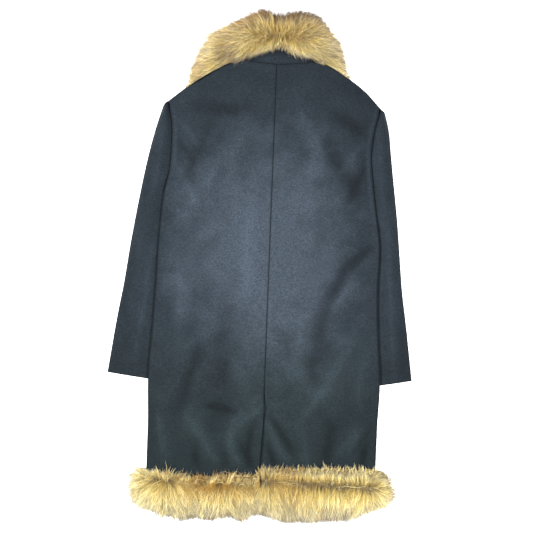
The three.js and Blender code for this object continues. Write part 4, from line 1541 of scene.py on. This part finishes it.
@dataclass
class HemFur(FurForm):
    """One half of the band round the hem, on the back or on the front."""

    side: Side = Side.LEFT
    split: float = 0.0
    outer: bool = True
    edge_inset: float = 14.0
    top_inset: float = 6.0
    left_inset: float = 14.0  # how much lower the ground's top edge is on the left back
    round_from: float = 252.0  # where the ground's ends start to round off
    round_over: float = 36.0
    crown: float = 21.0
    foot: float = 27.0
    underside: float = 25.5
    front_top: float = 23.0
    parting: Table = Table((
        (-290, -940), (-255, -932), (-200, -931), (-120, -934), (-40, -931), (-10, -931), (0, -927),
        (20, -927), (120, -929), (200, -931), (250, -933), (290, -940),
    ))
    fans: tuple[Fan, ...] = (
        Fan(-210, 44, 1.5), Fan(-138, 30, 1.1), Fan(-76, 34, 1.1), Fan(-16, 16, 0.5), Fan(14, 22, 0.9),
        Fan(262, 30, 0.7),
    )

    def span(self, along: Array) -> Array:
        """X of the sections, from the split to the band's end."""
        end = BAND_TOP.rows[0][0] if self.side is Side.LEFT else BAND_TOP.rows[-1][0]
        return lerp(self.split, end - self.side.value * self.edge_inset, along)

    def skin(self, along: Array, angle: Array) -> Array:
        """Places on the ground, from the share along it and the angle round it, 0 at the low edge."""
        along = np.clip(along, 0, 1)
        x = self.span(along)
        inset = self.edge_inset
        on_left = 1 - smoothstep(x, -14, -4) - (1 - smoothstep(x, -270, -252))
        low_y, top_y = BAND_LOW(x) + inset, BAND_TOP(x) - self.top_inset
        if self.outer:
            top_y = BAND_TOP(x) - (self.top_inset + self.left_inset * on_left)
        past = np.clip((np.abs(x) - self.round_from) / self.round_over, 0, 0.97)
        middle, half = (top_y + low_y) / 2, (top_y - low_y) / 2 * np.sqrt(1 - past**2.5)
        low_y, top_y = middle - half, middle + half
        across = (1 + np.cos(angle)) / 2
        ends = np.sqrt(np.maximum(1 - smoothstep(np.abs(x), 225, 306), 0))
        level = np.sin(angle)
        if self.outer:
            hem_y = WOOL_HEM(x)
            on_wool = over_wool(np.clip(x, -250, 250), hem_y + 1.0)
            over_hem = smoothstep(lerp(top_y, low_y, across) - hem_y, -14, -1)
            low = lerp(self.underside, on_wool, over_hem)
            top = self.foot + self.crown * ends * np.sin(np.pi * (1 - across) ** 0.8) ** 0.75
            top = np.maximum(top, low + 1.0)
        else:
            low = 1.0 + 9 * smoothstep(across, 0.6, 1) * ends + 14 * (1 - ends)
            top = np.full_like(x, self.front_top)
        z = lerp((top + low) / 2, np.where(level > 0, top, low), np.abs(level) ** 0.6)
        return np.stack([x, lerp(top_y, low_y, across), z], -1)

    def flow(self, roots: Array) -> Array:
        """Hairs lie up and down from the parting, away from the whorls and out at the end."""
        x, y = roots[:, 0], roots[:, 1]
        from_parting = y - self.parting(x)
        up = smoothstep(from_parting, -3, 3) * 2 - 1
        if not self.outer:
            up = -np.ones_like(x)
        away = np.stack([0 * x, up, 0 * x], -1)
        for fan in self.fans:
            gap = (x - fan.x) / fan.reach
            away[:, 0] += fan.strength * gap * bump(gap, 1.0)
        sign = self.side.value
        at_end = smoothstep(sign * x, 215, 288)
        outward = unit(np.stack([(x - sign * 225) * 1.2, y + 935, 0 * x], -1))
        return unit(lerp(away, outward * 1.5, at_end[:, None]))

    def gold(self, roots: Array) -> Array:
        """The upper edge is golden brown, and so are a few patches along the bottom."""
        x, y = roots[:, 0], roots[:, 1]
        share = np.where(x < 0, 0.3 + 0.5 * bump(x + 115, 75), 0.12 + 0.4 * bump(x - 60, 45))
        edge = smoothstep(y, -950, -932) * share * (1 - smoothstep(np.abs(x), 205, 240))
        low = sum(0.5 * bump(np.hypot((x - at) / 26, (y + 992) / 20), 1.0) for at in (-92, -38, 66, 150, 214))
        return 0.12 + edge + low

    def density(self, roots: Array) -> Array:
        """The hairs stand closest at the parting, which would show the ground otherwise."""
        return 1 + 1.3 * bump(roots[:, 1] - self.parting(roots[:, 0]) + 4, 10)

    def evenness(self, roots: Array) -> Array:
        """Dark tips crowd the outline."""
        from_parting = roots[:, 1] - self.parting(roots[:, 0])
        at_edge = np.maximum(smoothstep(-from_parting, 48, 66), smoothstep(np.abs(roots[:, 0]), 255, 282))
        return 1 - 0.8 * at_edge

    def reach(self) -> Array:
        """The band's outline, and the line of the tips over the wool."""
        return smooth_line((*BAND_TIPS, *BAND_LOW_TIPS, BAND_TIPS[0]), np.linspace(0, 1, 180))

    def resting(self, x: Array, y: Array) -> Array:
        """The wool under the hairs that lie over it."""
        return over_wool(x, y) if self.outer else super().resting(x, y)


# Both edges of the collar that is turned down, on the right.
TURNED_INNER = ((3, 2), (50, -1), (84, -14), (92, -45), (80, -85), (50, -105), (6, -111))
TURNED_OUTER = (
    (3, 31), (50, 20), (93, 3), (122, -15), (142, -40), (142, -90), (110, -140), (60, -168), (6, -176),
)


@dataclass
class TurnedCollar(FurForm):
    """The half of the fur collar that is turned down over a front, and lies under the coat."""

    side: Side = Side.LEFT
    deep: float = 20.0
    edge: float = 3.5

    def skin(self, along: Array, angle: Array) -> Array:
        """Places on the ground, from the share along it and the angle round it."""
        along = np.clip(along, 0, 1)
        across = (1 + np.cos(angle)) / 2
        places = lerp(smooth_line(TURNED_INNER, along), smooth_line(TURNED_OUTER, along), across[..., None])
        half = lerp(self.edge, self.deep, np.sqrt(np.sin(np.pi * across))) / 2
        level = np.sin(angle)
        z = self.deep / 2 + half * np.sign(level) * np.abs(level) ** 0.5
        return np.stack([self.side.value * places[..., 0], places[..., 1], z], -1)


# Light and camera.


WHITE = (1.0, 1.0, 1.0, 1.0)


@dataclass(frozen=True)
class Studio:
    """A pale floor, soft lights and a camera straight above the coat."""

    seen_width: float = 1188.6
    seen_centre: tuple[float, float] = (5.9, -3.1)  # in the part's frame
    camera_turn: float = 2.2  # degrees
    lens: float = 200.0
    clip_end: float = 50.0  # metres
    floor: str = "#f4f4f2"
    floor_pale: str = "#fafaf9"
    patch: float = 300.0
    floor_half: float = 6.0  # metres
    floor_gap: float = 0.3  # how far the floor lies below the coat
    sky: float = 0.2
    glow: float = 0.85  # of the floor, which keeps the shadows on it pale

    def floor_material(self) -> Material:
        """Matt painted board: even and pale."""
        material, tree, shader = new_material("matt painted board")
        places = add_node(tree, "TexCoord").outputs["Object"]
        grain = add_node(tree, "TexNoise", {"Vector": places, "Scale": in_a_metre(self.patch), "Detail": 1.0})
        tone = add_node(tree, "ValToRGB", {0: grain})
        set_ramp(tone, [(0.0, self.floor), (1.0, self.floor_pale)])
        set_inputs(tree, shader, {
            "Base Color": tone, "Roughness": 0.9, "Emission Color": WHITE, "Emission Strength": self.glow,
        })
        return material

    def build(self) -> None:
        """Builds the floor, the lights and the camera."""
        mesh = shaped(
            bpy.data.meshes.new("floor"),
            lambda form: bmesh.ops.create_grid(form, x_segments=1, y_segments=1, size=self.floor_half),
            lambda form: bmesh.ops.translate(form, verts=form.verts, vec=(0, 0, -self.floor_gap * MM)),
        )
        mesh.materials.append(self.floor_material())
        floor = bpy.data.objects.new("floor", mesh)
        bpy.context.scene.collection.objects.link(floor)
        self.add_light("key", (-4.2, 0.15, 2.6), 1.2, 445.0)
        self.add_light("fill", (3.4, -1.2, 2.6), 1.6, 235.0)
        self.add_light("overhead", (0.6, -0.4, 3.6), 2.0, 85.0)
        world = bpy.data.worlds.new("studio")
        world.use_nodes = True
        background = world.node_tree.nodes["Background"]
        set_inputs(world.node_tree, background, {"Strength": self.sky, "Color": WHITE})
        bpy.context.scene.world = world
        bpy.context.scene.view_settings.view_transform = "Standard"
        self.add_camera()

    @staticmethod
    def add_light(name: str, place: tuple[float, float, float], size: float, power: float) -> None:
        """Adds a soft light that points at the coat.

        Args:
            name: Its name.
            place: Where it stands, in metres.
            size: Its width, in metres.
            power: Its power, in watts.
        """
        lamp = bpy.data.lights.new(name, "AREA")
        lamp.size = size
        lamp.energy = power
        light = bpy.data.objects.new(name, lamp)
        light.location = place
        light.rotation_euler = (-Vector(place)).to_track_quat("-Z", "Y").to_euler()
        bpy.context.scene.collection.objects.link(light)

    def add_camera(self) -> None:
        """Adds the camera, so far up that the coat is seen without foreshortening."""
        camera_data = bpy.data.cameras.new("camera")
        camera_data.lens = self.lens
        camera = bpy.data.objects.new("camera", camera_data)
        half = math.atan(camera_data.sensor_width / 2 / self.lens)
        height = self.seen_width / 2 * MM / math.tan(half)
        camera.location = (self.seen_centre[0] * MM, self.seen_centre[1] * MM, height)
        camera.rotation_euler = (0, 0, math.radians(self.camera_turn))
        camera_data.clip_end = self.clip_end
        bpy.context.scene.collection.objects.link(camera)
        bpy.context.scene.camera = camera


def build_fur(finishes: Finishes) -> None:
    """Builds every piece of fur.

    Args:
        finishes: The coat's materials.
    """
    ground, pile = finishes.ground, finishes.pile
    collar = CollarFur("collar_fur_back", ground, pile)
    collar.build_ground()
    for side, grown, blur in ((Side.LEFT, (0.0, 0.53), 9.0), (Side.RIGHT, (0.53, 1.0), 2.5)):
        sign, tag = side.value, side.tag
        collar.grown = grown
        growth = Pile(hairs=11000, locks=2200, blur=12.0, seed=11 + sign)
        collar.build_pile(f"pile_{tag}", growth, (-0.9, 2.9))
        back = HemFur(f"hem_fur_back_{tag}", ground, pile, side=side, split=sign * 1.0)
        back.build_ground()
        growth = Pile(hairs=12200, locks=2300, blur=blur, seed=21 + sign)
        back.build_pile("pile", growth, (-0.5, 3.0))
        front = HemFur(f"hem_fur_front_{tag}", ground, pile, side=side, split=-35.0 + sign * 0.5, outer=False)
        front.build_ground(60, 20)
        growth = Pile(hairs=2000, locks=400, rings=2, length=(14.0, 30.0), seed=31 + sign)
        front.build_pile("pile", growth, (-0.9, 0.9))
        TurnedCollar(f"collar_fur_{tag}", ground, pile, side=side).build_ground(60, 20)


def main() -> None:
    """Builds the coat and its studio."""
    logging.basicConfig(level=logging.INFO, format="%(name)s %(message)s")
    finishes = Finishes()
    Studio().build()
    Backs(finishes.wool).build()
    Fronts(finishes.wool).build()
    for side in Side:
        Sleeve(finishes.wool, side).build()
    CollarStand(finishes.wool).build()
    build_fur(finishes)


if __name__ == "__main__":
    main()
